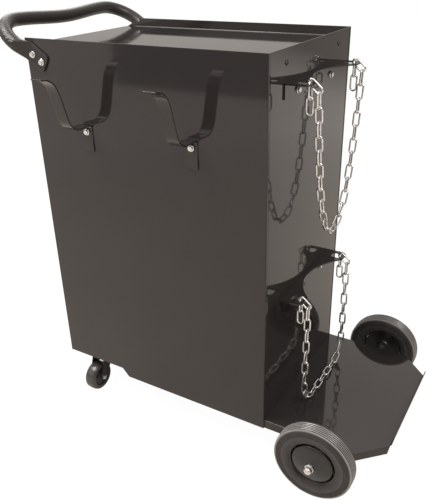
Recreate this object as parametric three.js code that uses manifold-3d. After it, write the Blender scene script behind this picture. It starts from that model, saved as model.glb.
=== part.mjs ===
import * as THREE from "three";
import { mergeVertices } from "three/addons/utils/BufferGeometryUtils.js";
import Module from "manifold-3d";

const wasm = await Module();
wasm.setup();

// Welding cart, millimetres, +Z up. X runs from the open handle end to the bottle end, +Y is the left side.
// Lengths along X start at the rear edge of the cabinet, heights start at the floor.

// Cabinet sheet metal
const cabinetLength = 580;
const cabinetWidth = 404;
const cabinetTop = 907;
const sheet = 2;
const seatGap = 0.3;
const rearFootDrop = 1.5;
const frontFootDrop = 22;
const footStepStart = 175;
const footStepRun = 19;
const cornerReturn = 7;
const cornerSlit = 0.8;
const rearReturn = 14;

// Tray on top, shelf inside
const trayDepth = 20;
const trayOverhang = 36;
const trayRim = 19;
const trayFrontFlange = 20;
const trayScrewDrop = 26;
const trayScrewSpread = 260;
const shelfHeight = 485;
const shelfFlange = 20;
const shelfSetback = 30;

// Base platform that carries the bottle
const platformReach = 272;
const platformChamfer = 63;
const platformFlange = 21;
const platformLip = 18;

// Push handle, a bent tube with flattened ends
const handleTube = 30;
const handleFlatWidth = 40;
const handleFlatThickness = 4;
const handleSlope = THREE.MathUtils.degToRad(32);
const handleReach = 117;
const handleBend = 70;
const handleBow = 11;
const handleEndMargin = 12;
const handleFlatRun = 11;
const handleSwellRun = 30;
const handleFlatSquareness = 0.3;
const handleSwellSteps = [[0.25, 0.2], [0.5, 0.5], [0.75, 0.8]];
const handleBoltX = 22;
const handleBoltZ = 874;
const handleBoltSpacing = 27.5;

// Cable hooks bent from strap, outline as distance from the panel and height from the hook's seat
const hookStrap = 28;
const hookThickness = 3;
const hookSeat = 738;
const hookRearX = 150;
const hookFrontX = 416;
const hookBoltDrop = 17;
const hookPath = [
  [0, -58], [0, -5], [5, 0], [40, 0], [52, 6], [62, 18], [68, 36],
  [75, 61], [83, 86], [91, 100], [105, 111], [124, 115],
];

// Bottle brackets, folded plates with two prongs round a bottle
const bracketPlate = 3;
const bracketWidth = 280;
const bracketReach = 52;
const bracketThroat = 9;
const bracketRadius = 145;
const bracketCorner = 16;
const bracketFlange = 30;
const upperBracketTop = 846;
const lowerBracketTop = 392;
const bracketBoltDrop = 21;
const bracketBoltSpread = 166;
const slotInset = 22;
const slotLength = 26;
const slotDepth = 24;
const slotCorner = 7;
const slotTip = 7;

// Chain
const linkPitch = 28.5;
const linkWire = 4;
const linkInside = 9;
const linkBite = 0.1;
const linkPlay = 1.5;
const linksPerSpan = 25;
const anchorTilt = THREE.MathUtils.degToRad(40);
const anchorFit = 0.35;
const tailFit = 0.35;
const chainFloorGap = 0.6;

// Rear wheels and axle
const wheelRadius = 88.5;
const wheelAhead = 139;
const wheelGap = 22.3;
const tyreWidth = 36;
const tyreBore = 104;
const tyreBead = 4;
const tyreBeadRise = 7;
const tyreBeadEdge = 1;
const tyreBulge = 14;
const tyreShoulder = 5;
const tyreShoulderInset = 2.5;
const treadInset = 7;
const treadRibs = 3;
const treadGroove = 3;
const treadGrooveDepth = 2.5;
const hubBossWall = 9.5;
const hubBossStep = 8;
const hubWeb = 8;
const hubRimWall = 7;
const hubRimLip = 4;
const hubDome = 8;
const hubDomeStep = 4;
const hubDomeFall = 2;
const hubDomeEdge = 14;
const hubFaceEdge = 3;
const axleDiameter = 13;
const axleClearance = 0.3;
const axleRoom = 5.7;
const axleBracketLength = 60;
const axleBracketPlate = 3;
const axleBracketDrop = 30;
const axleBracketFlange = 20;
const spacerWall = 4.5;
const washerWall = 6.5;
const washerThickness = 2;
const axleNutWall = 3.5;
const axleNutHeight = 10;
const axleStub = 1.5;

// Swivel casters
const casterX = 74;
const casterInset = 42;
const casterTrail = 30;
const casterWheelRadius = 38;
const casterWheelWidth = 30;
const casterTyreBore = 50;
const casterBead = 2;
const casterBeadRise = 5;
const casterShoulder = 4;
const casterShoulderInset = 5;
const casterHubWidth = 33;
const casterHubWall = 5;
const casterHubTaper = 2;
const casterHubDish = 4;
const casterHubLip = 2.5;
const casterPlateLength = 64;
const casterPlateWidth = 56;
const casterPlateThickness = 3;
const casterRace = 44;
const casterRaceHeight = 9;
const casterPin = 10;
const casterPinHead = 16;
const casterPinHeadHeight = 3;
const forkPlate = 3;
const forkSideGap = 0.6;
const forkCrownLength = 40;
const forkEye = 18;
const forkEyeStart = THREE.MathUtils.degToRad(30);
const casterBolt = 8;
const casterBoltHead = 13;
const casterBoltHeadHeight = 5;

// Fasteners
const boltShank = 8;
const boltHead = 17;
const boltHeadHeight = 5;
const boltHeadFlat = 8.5;
const boltHeadEdge = 1.7;
const boltNut = 13;
const boltNutHeight = 6;
const screwShank = 5;
const screwHead = 10;
const screwHeadHeight = 3;
const screwHeadFlat = 6.7;
const holeClearance = 0.3;

// Facets
const weldTolerance = 1e-4;
const smallRound = 8;
const tubeSides = 10;
const wireSides = 4;
const linkEndSteps = 4;
const wheelSides = 24;
const hubSides = 16;
const casterSides = 16;
const casterHubSides = 12;
const ringSides = 12;
const hexSides = 6;
const cornerSteps = 4;
const throatSteps = 10;
const bendSteps = 5;
const bowSteps = 4;
const solverSteps = 60;

// Sizes that follow from the ones above
const halfWidth = cabinetWidth / 2;
const insideHalf = halfWidth - sheet - seatGap;
const axleDepth = sheet + seatGap + axleBracketPlate + axleRoom + axleDiameter / 2;
const platformTop = wheelRadius + axleDepth;
const panelRearFoot = platformTop - rearFootDrop;
const panelFrontFoot = platformTop - frontFootDrop;
const platformFront = cabinetLength + platformReach;
const trayFloor = cabinetTop - trayDepth;
const wheelX = cabinetLength + wheelAhead;
const wheelHalfTrack = insideHalf + wheelGap + tyreWidth / 2;
const casterHalfSpread = halfWidth - casterInset;
const holeDepth = 4 * (sheet + bracketPlate);
const wireFacet = (2 * Math.PI) / wireSides;
const linkWireRadius = Math.sqrt((Math.PI * linkWire ** 2) / (2 * wireSides * Math.sin(wireFacet)));
const linkWireHalf = linkWireRadius * Math.cos(wireFacet / 2);
const linkBend = (linkInside + linkWire) / 2;
const linkContact = 2 * linkWireHalf - linkBite;
const linkCentreLength = linkPitch + linkContact;
const linkArcCentre = linkCentreLength / 2 - linkBend;

// Materials
function coat(color, roughness, metalness) {
  return new THREE.MeshStandardMaterial({ color, roughness, metalness });
}
const blackCoat = () => coat(0x1d1c1b, 0.22, 0.1);
const blackSteel = () => coat(0x2a2a2b, 0.4, 0.6);
const zinc = () => coat(0xc9ccd0, 0.3, 0.9);
const darkRubber = () => coat(0x2b2c2d, 0.8, 0);
const blackPlastic = () => coat(0x202122, 0.45, 0);

// Solids
function signedVolume(position, index) {
  const a = new THREE.Vector3();
  const b = new THREE.Vector3();
  const c = new THREE.Vector3();
  let sum = 0;
  for (let i = 0; i < index.length; i += 3) {
    a.fromBufferAttribute(position, index[i]);
    b.fromBufferAttribute(position, index[i + 1]);
    c.fromBufferAttribute(position, index[i + 2]);
    sum += a.dot(b.cross(c));
  }
  return sum;
}

function solid(source) {
  const bare = source.clone();
  bare.deleteAttribute("normal");
  bare.deleteAttribute("uv");
  const welded = mergeVertices(bare, weldTolerance);
  const all = welded.index.array;
  const kept = [];
  for (let i = 0; i < all.length; i += 3) {
    const [p, q, r] = [all[i], all[i + 1], all[i + 2]];
    if (p !== q && q !== r && r !== p) kept.push(p, q, r);
  }
  if (signedVolume(welded.attributes.position, kept) < 0) kept.reverse();
  const vertProperties = new Float32Array(welded.attributes.position.array);
  const triVerts = new Uint32Array(kept);
  return new wasm.Manifold(new wasm.Mesh({ numProp: 3, vertProperties, triVerts }));
}

function join(first, ...others) {
  return others.reduce((whole, other) => whole.add(other), first);
}

function cut(first, ...others) {
  return others.reduce((whole, other) => whole.subtract(other), first);
}

function block([x0, x1], [y0, y1], [z0, z1]) {
  const box = new THREE.BoxGeometry(x1 - x0, y1 - y0, z1 - z0);
  box.translate((x0 + x1) / 2, (y0 + y1) / 2, (z0 + z1) / 2);
  return solid(box);
}

function outline(points) {
  return new THREE.Shape(points.map(([a, b]) => new THREE.Vector2(a, b)));
}

const basisXZ = new THREE.Matrix4().makeBasis(
  new THREE.Vector3(1, 0, 0), new THREE.Vector3(0, 0, 1), new THREE.Vector3(0, -1, 0));
const basisYZ = new THREE.Matrix4().makeBasis(
  new THREE.Vector3(0, 1, 0), new THREE.Vector3(0, 0, 1), new THREE.Vector3(1, 0, 0));

function extruded(shape, depth) {
  return new THREE.ExtrudeGeometry(shape, { depth, bevelEnabled: false });
}

// Plate drawn in X and Z, filling y0 to y1
function plateXZ(points, [y0, y1]) {
  return solid(extruded(outline(points), y1 - y0).applyMatrix4(basisXZ).translate(0, y1, 0));
}

// Plate drawn in Y and Z, filling x0 to x1
function plateYZ(points, [x0, x1]) {
  return solid(extruded(outline(points), x1 - x0).applyMatrix4(basisYZ).translate(x0, 0, 0));
}

// Plate drawn in plan, filling z0 to z1
function platePlan(points, [z0, z1]) {
  return solid(extruded(outline(points), z1 - z0).translate(0, 0, z0));
}

// Turned piece: profile as radius and distance along the axis
function turned(profile, sides) {
  return new THREE.LatheGeometry(profile.map(([r, t]) => new THREE.Vector2(r, t)), sides);
}

function ringProfile(bore, outer, from, to) {
  return [[bore, from], [outer, from], [outer, to], [bore, to], [bore, from]];
}

function alongX(geometry) {
  return geometry.rotateZ(-Math.PI / 2);
}

function alongZ(geometry) {
  return geometry.rotateX(Math.PI / 2);
}

// Hole cutters, drawn a little outside the true circle so the round fits inside the facets
function holeRadius(diameter) {
  return (diameter / 2 + holeClearance) / Math.cos(Math.PI / smallRound);
}

function holeAcross(diameter, length) {
  return new THREE.CylinderGeometry(holeRadius(diameter), holeRadius(diameter), length, smallRound);
}

function holeY(diameter, x, z, y, length) {
  return solid(holeAcross(diameter, length).translate(x, y, z));
}

function holeX(diameter, x, y, z, length) {
  return solid(alongX(holeAcross(diameter, length)).translate(x, y, z));
}

function mirrored(points) {
  return points.map(([a, b]) => [a, -b]).reverse();
}

const root = new THREE.Group();
root.name = "welding_cart";

function piece(name, body, material) {
  const mesh = body.getMesh();
  const geometry = new THREE.BufferGeometry();
  const positions = new Float32Array(mesh.vertProperties);
  geometry.setAttribute("position", new THREE.BufferAttribute(positions, mesh.numProp));
  geometry.setIndex(new THREE.BufferAttribute(new Uint32Array(mesh.triVerts), 1));
  geometry.computeVertexNormals();
  const made = new THREE.Mesh(geometry, material);
  made.name = name;
  root.add(made);
}

const sides = [["left", 1], ["right", -1]];

// Range of y on one side, given distances from the middle plane
function onSide(sign, near, far) {
  return sign > 0 ? [near, far] : [-far, -near];
}

// Handle bolt places on a side panel
const handleAlong = new THREE.Vector2(-Math.cos(handleSlope), Math.sin(handleSlope));
const handleUp = new THREE.Vector2(Math.sin(handleSlope), Math.cos(handleSlope));
const handleBolts = [
  ["rear", handleBoltX, handleBoltZ],
  [
    "front",
    handleBoltX - handleAlong.x * handleBoltSpacing,
    handleBoltZ - handleAlong.y * handleBoltSpacing,
  ],
];
const hookPlaces = [["rear", hookRearX], ["front", hookFrontX]];
const hookBoltZ = hookSeat - hookBoltDrop;

// Cabinet
for (const [side, sign] of sides) {
  const wall = plateXZ([
    [0, panelRearFoot],
    [footStepStart, panelRearFoot],
    [footStepStart + footStepRun, panelFrontFoot],
    [cabinetLength, panelFrontFoot],
    [cabinetLength, cabinetTop],
    [0, cabinetTop],
  ], onSide(sign, halfWidth - sheet, halfWidth));
  const front = block(
    [cabinetLength - sheet, cabinetLength],
    onSide(sign, halfWidth - cornerReturn, halfWidth),
    [platformTop + seatGap, cabinetTop]);
  const rear = block(
    [0, sheet],
    onSide(sign, halfWidth - rearReturn, halfWidth),
    [platformTop + seatGap, trayFloor - sheet - seatGap]);
  const holes = [
    ...handleBolts.map(([, x, z]) => holeY(boltShank, x, z, sign * halfWidth, holeDepth)),
    ...hookPlaces.map(([, x]) => holeY(boltShank, x, hookBoltZ, sign * halfWidth, holeDepth)),
  ];
  piece(`${side}_side_panel`, cut(join(wall, front, rear), ...holes), blackCoat());
}

const bracketBoltHalf = bracketBoltSpread / 2;
const brackets = [["upper", upperBracketTop], ["lower", lowerBracketTop]];
const trayScrewZ = cabinetTop - trayScrewDrop;
const trayScrewHalf = trayScrewSpread / 2;

const frontHalf = halfWidth - cornerReturn - cornerSlit;
const frontHoles = sides.flatMap(([, sign]) => [
  ...brackets.map(([, top]) => holeX(
    boltShank, cabinetLength, sign * bracketBoltHalf, top - bracketBoltDrop, holeDepth)),
  holeX(screwShank, cabinetLength, sign * trayScrewHalf, trayScrewZ, holeDepth),
]);
const frontSheet = block(
  [cabinetLength - sheet, cabinetLength], [-frontHalf, frontHalf], [platformTop + seatGap, cabinetTop]);
piece("front_panel", cut(frontSheet, ...frontHoles), blackCoat());

const frontInside = cabinetLength - sheet - seatGap;
const trayPan = join(
  block([-trayOverhang, frontInside], [-insideHalf, insideHalf], [trayFloor - sheet, trayFloor]),
  block(
    [frontInside - sheet, frontInside],
    [-insideHalf, insideHalf],
    [trayFloor - trayFrontFlange, trayFloor]),
  ...sides.map(([, sign]) => plateXZ([
    [-trayOverhang, trayFloor - sheet],
    [frontInside, trayFloor - sheet],
    [frontInside, trayFloor + trayRim],
    [0, trayFloor + trayRim],
    [-trayOverhang, trayFloor],
  ], onSide(sign, insideHalf - sheet, insideHalf))));
const trayHoles = sides.map(([, sign]) => holeX(
  screwShank, frontInside, sign * trayScrewHalf, trayScrewZ, holeDepth));
piece("top_tray", cut(trayPan, ...trayHoles), blackCoat());

const shelfOuter = block(
  [shelfSetback, frontInside], [-insideHalf, insideHalf], [shelfHeight - shelfFlange, shelfHeight]);
const shelfHollow = block(
  [shelfSetback + sheet, frontInside - sheet],
  [sheet - insideHalf, insideHalf - sheet],
  [shelfHeight - shelfFlange - sheet, shelfHeight - sheet]);
piece("middle_shelf", cut(shelfOuter, shelfHollow), blackCoat());

// Platform with side flanges, chamfered front corners and an upturned front lip
const chamferStart = platformFront - platformChamfer;
const lipHalf = insideHalf - platformChamfer;
const flangeStart = footStepStart + footStepRun;
const flangeMitre = sheet * Math.tan(Math.PI / 8);
const flangeEnd = sheet * Math.SQRT1_2;
const platformSheet = platePlan([
  [0, -insideHalf],
  [chamferStart, -insideHalf],
  [platformFront, -lipHalf],
  [platformFront, lipHalf],
  [chamferStart, insideHalf],
  [0, insideHalf],
], [platformTop - sheet, platformTop]);
const flangeOutline = [
  [flangeStart, insideHalf - sheet],
  [chamferStart - flangeMitre, insideHalf - sheet],
  [platformFront - flangeEnd, lipHalf - flangeEnd],
  [platformFront, lipHalf],
  [chamferStart, insideHalf],
  [flangeStart, insideHalf],
];
const flangeSpan = [platformTop - platformFlange, platformTop - sheet / 2];
const lip = block(
  [platformFront - sheet, platformFront],
  [-lipHalf, lipHalf],
  [platformTop - sheet, platformTop + platformLip]);
const axleNotches = sides.flatMap(([, sign]) => [
  holeY(axleDiameter, wheelX, wheelRadius, sign * insideHalf, holeDepth),
  block(
    [wheelX - holeRadius(axleDiameter), wheelX + holeRadius(axleDiameter)],
    onSide(sign, insideHalf - holeDepth / 2, insideHalf + sheet),
    [platformTop - platformFlange - sheet, wheelRadius]),
]);
const platformBody = join(
  platformSheet,
  platePlan(flangeOutline, flangeSpan),
  platePlan(mirrored(flangeOutline), flangeSpan),
  lip);
piece("base_platform", cut(platformBody, ...axleNotches), blackCoat());

// Push handle
const handleHalf = halfWidth + seatGap + handleTube / 2;
const handleFlatHalf = halfWidth + seatGap + handleFlatThickness / 2;
const handleSwellEnd = handleFlatRun + handleSwellRun;
const handleArmEnd = handleReach - handleBend;
const crossHalf = handleHalf - handleBend;

// One station of the tube: distance along the slope, distance from the middle, heading in its plane
function handleStation(along, across, heading, swell) {
  const tall = THREE.MathUtils.lerp(handleFlatWidth, handleTube, swell) / 2;
  const thick = THREE.MathUtils.lerp(handleFlatThickness, handleTube, swell) / 2;
  const squareness = THREE.MathUtils.lerp(handleFlatSquareness, 1, swell);
  const bulge = (value) => Math.sign(value) * Math.abs(value) ** squareness;
  const ring = [];
  for (let i = 0; i < tubeSides; i += 1) {
    const turn = (2 * Math.PI * (i + 0.5)) / tubeSides;
    const rise = tall * bulge(Math.cos(turn));
    const out = thick * bulge(Math.sin(turn));
    const slide = along + Math.sin(heading) * out;
    ring.push(new THREE.Vector3(
      handleBoltX + handleAlong.x * slide + handleUp.x * rise,
      across + Math.cos(heading) * out,
      handleBoltZ + handleAlong.y * slide + handleUp.y * rise));
  }
  return ring;
}

function bowAt(across) {
  return handleReach - handleBow * (1 + Math.cos((Math.PI * across) / crossHalf)) / 2;
}

function bowHeading(across) {
  const slope = (handleBow * Math.PI * Math.sin((Math.PI * across) / crossHalf)) / (2 * crossHalf);
  return Math.PI / 2 + Math.atan(slope);
}

const armStations = [
  [-handleBoltSpacing - handleEndMargin, 0],
  [handleFlatRun, 0],
  ...handleSwellSteps.map(([share, swell]) => [handleFlatRun + share * handleSwellRun, swell]),
  [handleSwellEnd, 1],
].map(([along, swell]) => handleStation(
  along, THREE.MathUtils.lerp(handleFlatHalf, handleHalf, swell), 0, swell));
const bendStations = [];
for (let i = 0; i <= bendSteps; i += 1) {
  const turn = (Math.PI / 2) * (i / bendSteps);
  bendStations.push(handleStation(
    handleArmEnd + handleBend * Math.sin(turn), crossHalf + handleBend * Math.cos(turn), turn, 1));
}
const crossStations = [];
for (let i = 1; i <= bowSteps; i += 1) {
  const across = crossHalf * (1 - i / bowSteps);
  crossStations.push(handleStation(bowAt(across), across, bowHeading(across), 1));
}
const halfHandle = [...armStations, ...bendStations, ...crossStations];
const farHandle = halfHandle.slice(0, -1).reverse().map((ring) => ring.map(
  (point) => new THREE.Vector3(point.x, -point.y, point.z)));

// Skin over rings of points, either closed on itself or capped at both ends
function skinned(rings, loop) {
  const count = rings[0].length;
  const positions = rings.flat().flatMap((point) => point.toArray());
  const index = [];
  const spans = loop ? rings.length : rings.length - 1;
  for (let i = 0; i < spans; i += 1) {
    const here = i * count;
    const next = ((i + 1) % rings.length) * count;
    for (let j = 0; j < count; j += 1) {
      const k = (j + 1) % count;
      index.push(here + j, here + k, next + k, here + j, next + k, next + j);
    }
  }
  if (!loop) {
    const last = (rings.length - 1) * count;
    for (let j = 1; j < count - 1; j += 1) {
      index.push(0, j + 1, j, last, last + j, last + j + 1);
    }
  }
  const geometry = new THREE.BufferGeometry();
  geometry.setAttribute("position", new THREE.BufferAttribute(new Float32Array(positions), 3));
  geometry.setIndex(index);
  return geometry;
}

const handleHoles = sides.flatMap(([, sign]) => handleBolts.map(([, x, z]) => holeY(
  boltShank, x, z, sign * handleFlatHalf, handleTube)));
const handleBody = solid(skinned([...halfHandle, ...farHandle], false));
piece("push_handle", cut(handleBody, ...handleHoles), blackCoat());

// Bolt along its axis from the head's seat, through the grip, with its nut
function boltProfile(grip) {
  const nut = grip + seatGap;
  return [
    [0, boltHeadHeight + seatGap],
    [boltHeadFlat / 2, boltHeadHeight + seatGap],
    [boltHead / 2, boltHeadEdge + seatGap],
    [boltHead / 2, seatGap],
    [boltShank / 2, seatGap],
    [boltShank / 2, -nut],
    [boltNut / 2, -nut],
    [boltNut / 2, -nut - boltNutHeight],
    [0, -nut - boltNutHeight],
  ];
}

function boltY(x, z, face, sign, grip) {
  const made = turned(boltProfile(grip), hexSides);
  if (sign < 0) made.rotateX(Math.PI);
  return solid(made.translate(x, sign * face, z));
}

function boltX(face, y, z, grip) {
  return solid(alongX(turned(boltProfile(grip), hexSides)).translate(face, y, z));
}

for (const [side, sign] of sides) {
  for (const [end, x, z] of handleBolts) {
    const face = handleFlatHalf + handleFlatThickness / 2;
    piece(`${side}_${end}_handle_bolt`, boltY(x, z, face, sign, face - halfWidth + sheet), zinc());
  }
}

// Strap bent along a path, drawn as its outline in the path's plane
function strapOutline(path, thickness) {
  const points = path.map(([a, b]) => new THREE.Vector2(a, b));
  const headings = points.slice(1).map((point, i) => point.clone().sub(points[i]).normalize());
  const inner = [];
  const outer = [];
  points.forEach((point, i) => {
    const before = headings[Math.max(i - 1, 0)];
    const after = headings[Math.min(i, headings.length - 1)];
    const mean = before.clone().add(after).normalize();
    const reach = thickness / 2 / mean.dot(after);
    const across = new THREE.Vector2(-mean.y, mean.x).multiplyScalar(reach);
    outer.push([point.x + across.x, point.y + across.y]);
    inner.push([point.x - across.x, point.y - across.y]);
  });
  return [...outer, ...inner.reverse()];
}

const hookCentre = halfWidth + seatGap + hookThickness / 2;
for (const [side, sign] of sides) {
  for (const [end, x] of hookPlaces) {
    const strip = strapOutline(hookPath, hookThickness).map(
      ([out, up]) => [sign * (hookCentre + out), hookSeat + up - hookThickness / 2]);
    const strap = plateYZ(strip, [x - hookStrap / 2, x + hookStrap / 2]);
    const hole = holeY(boltShank, x, hookBoltZ, sign * hookCentre, holeDepth);
    piece(`${side}_${end}_cable_hook`, cut(strap, hole), blackCoat());
    const face = hookCentre + hookThickness / 2;
    piece(`${side}_${end}_hook_bolt`, boltY(x, hookBoltZ, face, sign, face - halfWidth + sheet), zinc());
  }
}

// Bottle brackets
const bracketFace = cabinetLength + seatGap;
const bracketHalf = bracketWidth / 2;
const throatCentre = bracketThroat + bracketRadius;
const throatHalfAngle = Math.acos((throatCentre - bracketReach) / bracketRadius);
const bracketOutline = [[0, bracketHalf], [0, -bracketHalf]];
for (let i = 0; i <= cornerSteps; i += 1) {
  const turn = (Math.PI / 2) * (i / cornerSteps);
  bracketOutline.push([
    bracketReach - bracketCorner + bracketCorner * Math.sin(turn),
    -bracketHalf + bracketCorner - bracketCorner * Math.cos(turn),
  ]);
}
for (let i = 0; i <= throatSteps; i += 1) {
  const turn = throatHalfAngle * ((2 * i) / throatSteps - 1);
  bracketOutline.push([throatCentre - bracketRadius * Math.cos(turn), bracketRadius * Math.sin(turn)]);
}
for (let i = 0; i <= cornerSteps; i += 1) {
  const turn = (Math.PI / 2) * (1 - i / cornerSteps);
  bracketOutline.push([
    bracketReach - bracketCorner + bracketCorner * Math.sin(turn),
    bracketHalf - bracketCorner + bracketCorner * Math.cos(turn),
  ]);
}
const placedOutline = bracketOutline.map(([out, y]) => [bracketFace + out, y]);

const slotHalf = bracketHalf - slotInset;
const slotOuter = bracketReach - slotTip;
const slotCentre = slotOuter - slotDepth / 2;

function slotOutline(middle) {
  const points = [];
  const reach = slotDepth / 2 - slotCorner;
  const half = slotLength / 2 - slotCorner;
  [[1, 1], [-1, 1], [-1, -1], [1, -1]].forEach(([out, end], corner) => {
    for (let i = 0; i <= cornerSteps; i += 1) {
      const turn = (Math.PI / 2) * (corner + i / cornerSteps);
      points.push([
        bracketFace + slotCentre + out * reach + slotCorner * Math.cos(turn),
        middle + end * half + slotCorner * Math.sin(turn),
      ]);
    }
  });
  return points;
}

for (const [level, top] of brackets) {
  const plate = platePlan(placedOutline, [top - bracketPlate, top]);
  const flange = block(
    [bracketFace, bracketFace + bracketPlate], [-bracketHalf, bracketHalf], [top - bracketFlange, top]);
  const boltZ = top - bracketBoltDrop;
  const openings = sides.flatMap(([, sign]) => [
    platePlan(slotOutline(sign * slotHalf), [top - 2 * bracketPlate, top + bracketPlate]),
    holeX(boltShank, bracketFace, sign * bracketBoltHalf, boltZ, holeDepth),
  ]);
  piece(`${level}_bottle_bracket`, cut(join(plate, flange), ...openings), blackCoat());
  for (const [side, sign] of sides) {
    const face = bracketFace + bracketPlate;
    const grip = face - cabinetLength + sheet;
    piece(`${level}_${side}_bracket_bolt`, boltX(face, sign * bracketBoltHalf, boltZ, grip), zinc());
  }
}

// Tray screws through the front panel
const screwGrip = cabinetLength - frontInside + sheet;
const screwProfile = [
  [0, screwHeadHeight + seatGap],
  [screwHeadFlat / 2, screwHeadHeight + seatGap],
  [screwHead / 2, seatGap],
  [screwShank / 2, seatGap],
  [screwShank / 2, -screwGrip - screwHeadHeight],
  [0, -screwGrip - screwHeadHeight],
];
for (const [side, sign] of sides) {
  const screw = alongX(turned(screwProfile, smallRound));
  screw.translate(cabinetLength, sign * trayScrewHalf, trayScrewZ);
  piece(`${side}_tray_screw`, solid(screw), blackSteel());
}

// Chain links: a bent wire loop, placed by its middle, its long axis and the axis across its width
function link(middle, axis, width) {
  const normal = axis.clone().cross(width);
  const rings = [];
  for (const end of [1, -1]) {
    for (let i = 0; i <= linkEndSteps; i += 1) {
      const turn = Math.PI * (i / linkEndSteps - 0.5);
      const radial = axis.clone().multiplyScalar(end * Math.cos(turn));
      radial.addScaledVector(width, end * Math.sin(turn));
      const centre = middle.clone().addScaledVector(axis, end * linkArcCentre);
      const ring = [];
      for (let j = 0; j < wireSides; j += 1) {
        const round = (2 * Math.PI * (j + 0.5)) / wireSides + Math.PI;
        ring.push(centre.clone()
          .addScaledVector(radial, linkBend + linkWireRadius * Math.cos(round))
          .addScaledVector(normal, linkWireRadius * Math.sin(round)));
      }
      rings.push(ring);
    }
  }
  return solid(skinned(rings, true));
}

const crossX = new THREE.Vector3(1, 0, 0);
const crossY = new THREE.Vector3(0, 1, 0);
const down = new THREE.Vector3(0, 0, -1);

// Anchor link round the strip between slot and prong tip: its upper wire bears on the strip and its
// rear bend holds a two-link tail against the edge of the slot
const anchorAxis = new THREE.Vector3(Math.cos(anchorTilt), 0, -Math.sin(anchorTilt));
const anchorWidth = new THREE.Vector3(Math.sin(anchorTilt), 0, Math.cos(anchorTilt));
const stripLean = (slotTip * anchorWidth.x + bracketPlate * anchorWidth.z) / 2;
const anchorDrop = linkInside / 2 - stripLean - anchorFit;
const tailOffset = Math.max(linkBend + linkWireHalf - (slotLength / 2 - slotCorner), 0);
const slotFall = slotCorner - Math.sqrt(slotCorner ** 2 - tailOffset ** 2);
const tailX = bracketFace + slotOuter - slotFall - linkWireHalf - tailFit;
const stripX = bracketFace + slotOuter + slotTip / 2;
const tailBack = linkArcCentre + linkBend - linkContact;
const anchorSlip = (tailX - stripX + anchorDrop * anchorWidth.x) / anchorAxis.x + tailBack;

function anchorMiddle(top, y) {
  const strip = new THREE.Vector3(stripX, y, top - bracketPlate / 2);
  return strip.addScaledVector(anchorAxis, anchorSlip).addScaledVector(anchorWidth, -anchorDrop);
}

function anchorLinks(top, y) {
  const middle = anchorMiddle(top, y);
  const rest = middle.clone().addScaledVector(anchorAxis, -tailBack);
  const first = rest.clone().addScaledVector(down, linkCentreLength / 2);
  const second = first.clone().addScaledVector(down, linkPitch);
  return join(link(middle, anchorAxis, anchorWidth), link(first, down, crossY), link(second, down, crossX));
}

// Lowest point of the anchor's wire, where the hanging span takes hold
function spanHold(top) {
  const middle = anchorMiddle(top, 0).addScaledVector(anchorAxis, linkArcCentre);
  return middle.addScaledVector(down, linkBend);
}

// Joints of a span, walked outward from the middle of its lowest link in steps of one pitch
function walkSpan(pathPoint) {
  const joints = [];
  let run = 0;
  let target = linkPitch / 2;
  let from = new THREE.Vector2(0, pathPoint(0).y);
  for (let i = 0; i < (linksPerSpan + 1) / 2; i += 1) {
    let low = run;
    let high = run + 2 * linkPitch;
    for (let step = 0; step < solverSteps; step += 1) {
      const middle = (low + high) / 2;
      if (pathPoint(middle).distanceTo(from) < target) low = middle;
      else high = middle;
    }
    run = low;
    from = pathPoint(run);
    target = linkPitch;
    joints.push(from);
  }
  return joints;
}

function solveSpan(makePath, low, high, tooSmall) {
  let [a, b] = [low, high];
  for (let step = 0; step < solverSteps; step += 1) {
    const middle = (a + b) / 2;
    if (tooSmall(walkSpan(makePath(middle)))) a = middle;
    else b = middle;
  }
  return walkSpan(makePath((a + b) / 2));
}

function hangingPath(slack) {
  return (run) => new THREE.Vector2(slack * Math.asinh(run / slack), Math.hypot(slack, run) - slack);
}

function lyingPath(round) {
  const flat = slotHalf - round;
  return (run) => {
    if (run < flat) return new THREE.Vector2(run, 0);
    const turn = (run - flat) / round;
    if (turn > Math.PI / 2) return new THREE.Vector2(slotHalf, round + (turn - Math.PI / 2) * round);
    return new THREE.Vector2(flat + round * Math.sin(turn), round - round * Math.cos(turn));
  };
}

const topWireRise = linkWire + linkPlay;
const holdRise = topWireRise - linkContact / 2;

function spanLinks(joints, top) {
  const hold = spanHold(top);
  const end = joints[joints.length - 1];
  const lowest = hold.z + holdRise - end.y;
  const place = (joint, sign) => new THREE.Vector3(hold.x, sign * joint.x, lowest + joint.y);
  const right = joints.map((joint) => place(joint, -1)).reverse();
  const left = joints.map((joint) => place(joint, 1));
  const all = [...right, ...left];
  const made = all.slice(1).map((joint, i) => {
    const axis = joint.clone().sub(all[i]).normalize();
    const middle = joint.clone().add(all[i]).multiplyScalar(0.5);
    const width = i % 2 === 0 ? axis.clone().cross(crossX).normalize() : crossX;
    return link(middle, axis, width);
  });
  return join(...made);
}

const lyingHeight = platformTop + chainFloorGap + linkBend + linkWireHalf;
const lyingDrop = spanHold(lowerBracketTop).z + holdRise - lyingHeight;
const upperJoints = solveSpan(
  hangingPath, linkBend, slotHalf, (joints) => joints[joints.length - 1].x < slotHalf);
const lowerJoints = solveSpan(
  lyingPath, linkBend, slotHalf, (joints) => joints[joints.length - 1].y < lyingDrop);

for (const [level, top] of brackets) {
  for (const [side, sign] of sides) {
    piece(`${level}_${side}_chain_anchor`, anchorLinks(top, sign * slotHalf), zinc());
  }
}
piece("upper_chain", spanLinks(upperJoints, upperBracketTop), zinc());
piece("lower_chain", spanLinks(lowerJoints, lowerBracketTop), zinc());

// Axle with its hangers, and the wheels
const axleRadius = axleDiameter / 2;
const axleHole = axleRadius + axleClearance;

// A ring on the axle, on one side of the cart
function onAxle(profile, sign, sideCount) {
  const made = turned(profile, sideCount);
  if (sign < 0) made.rotateX(Math.PI);
  return solid(made.translate(wheelX, 0, wheelRadius));
}

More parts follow.
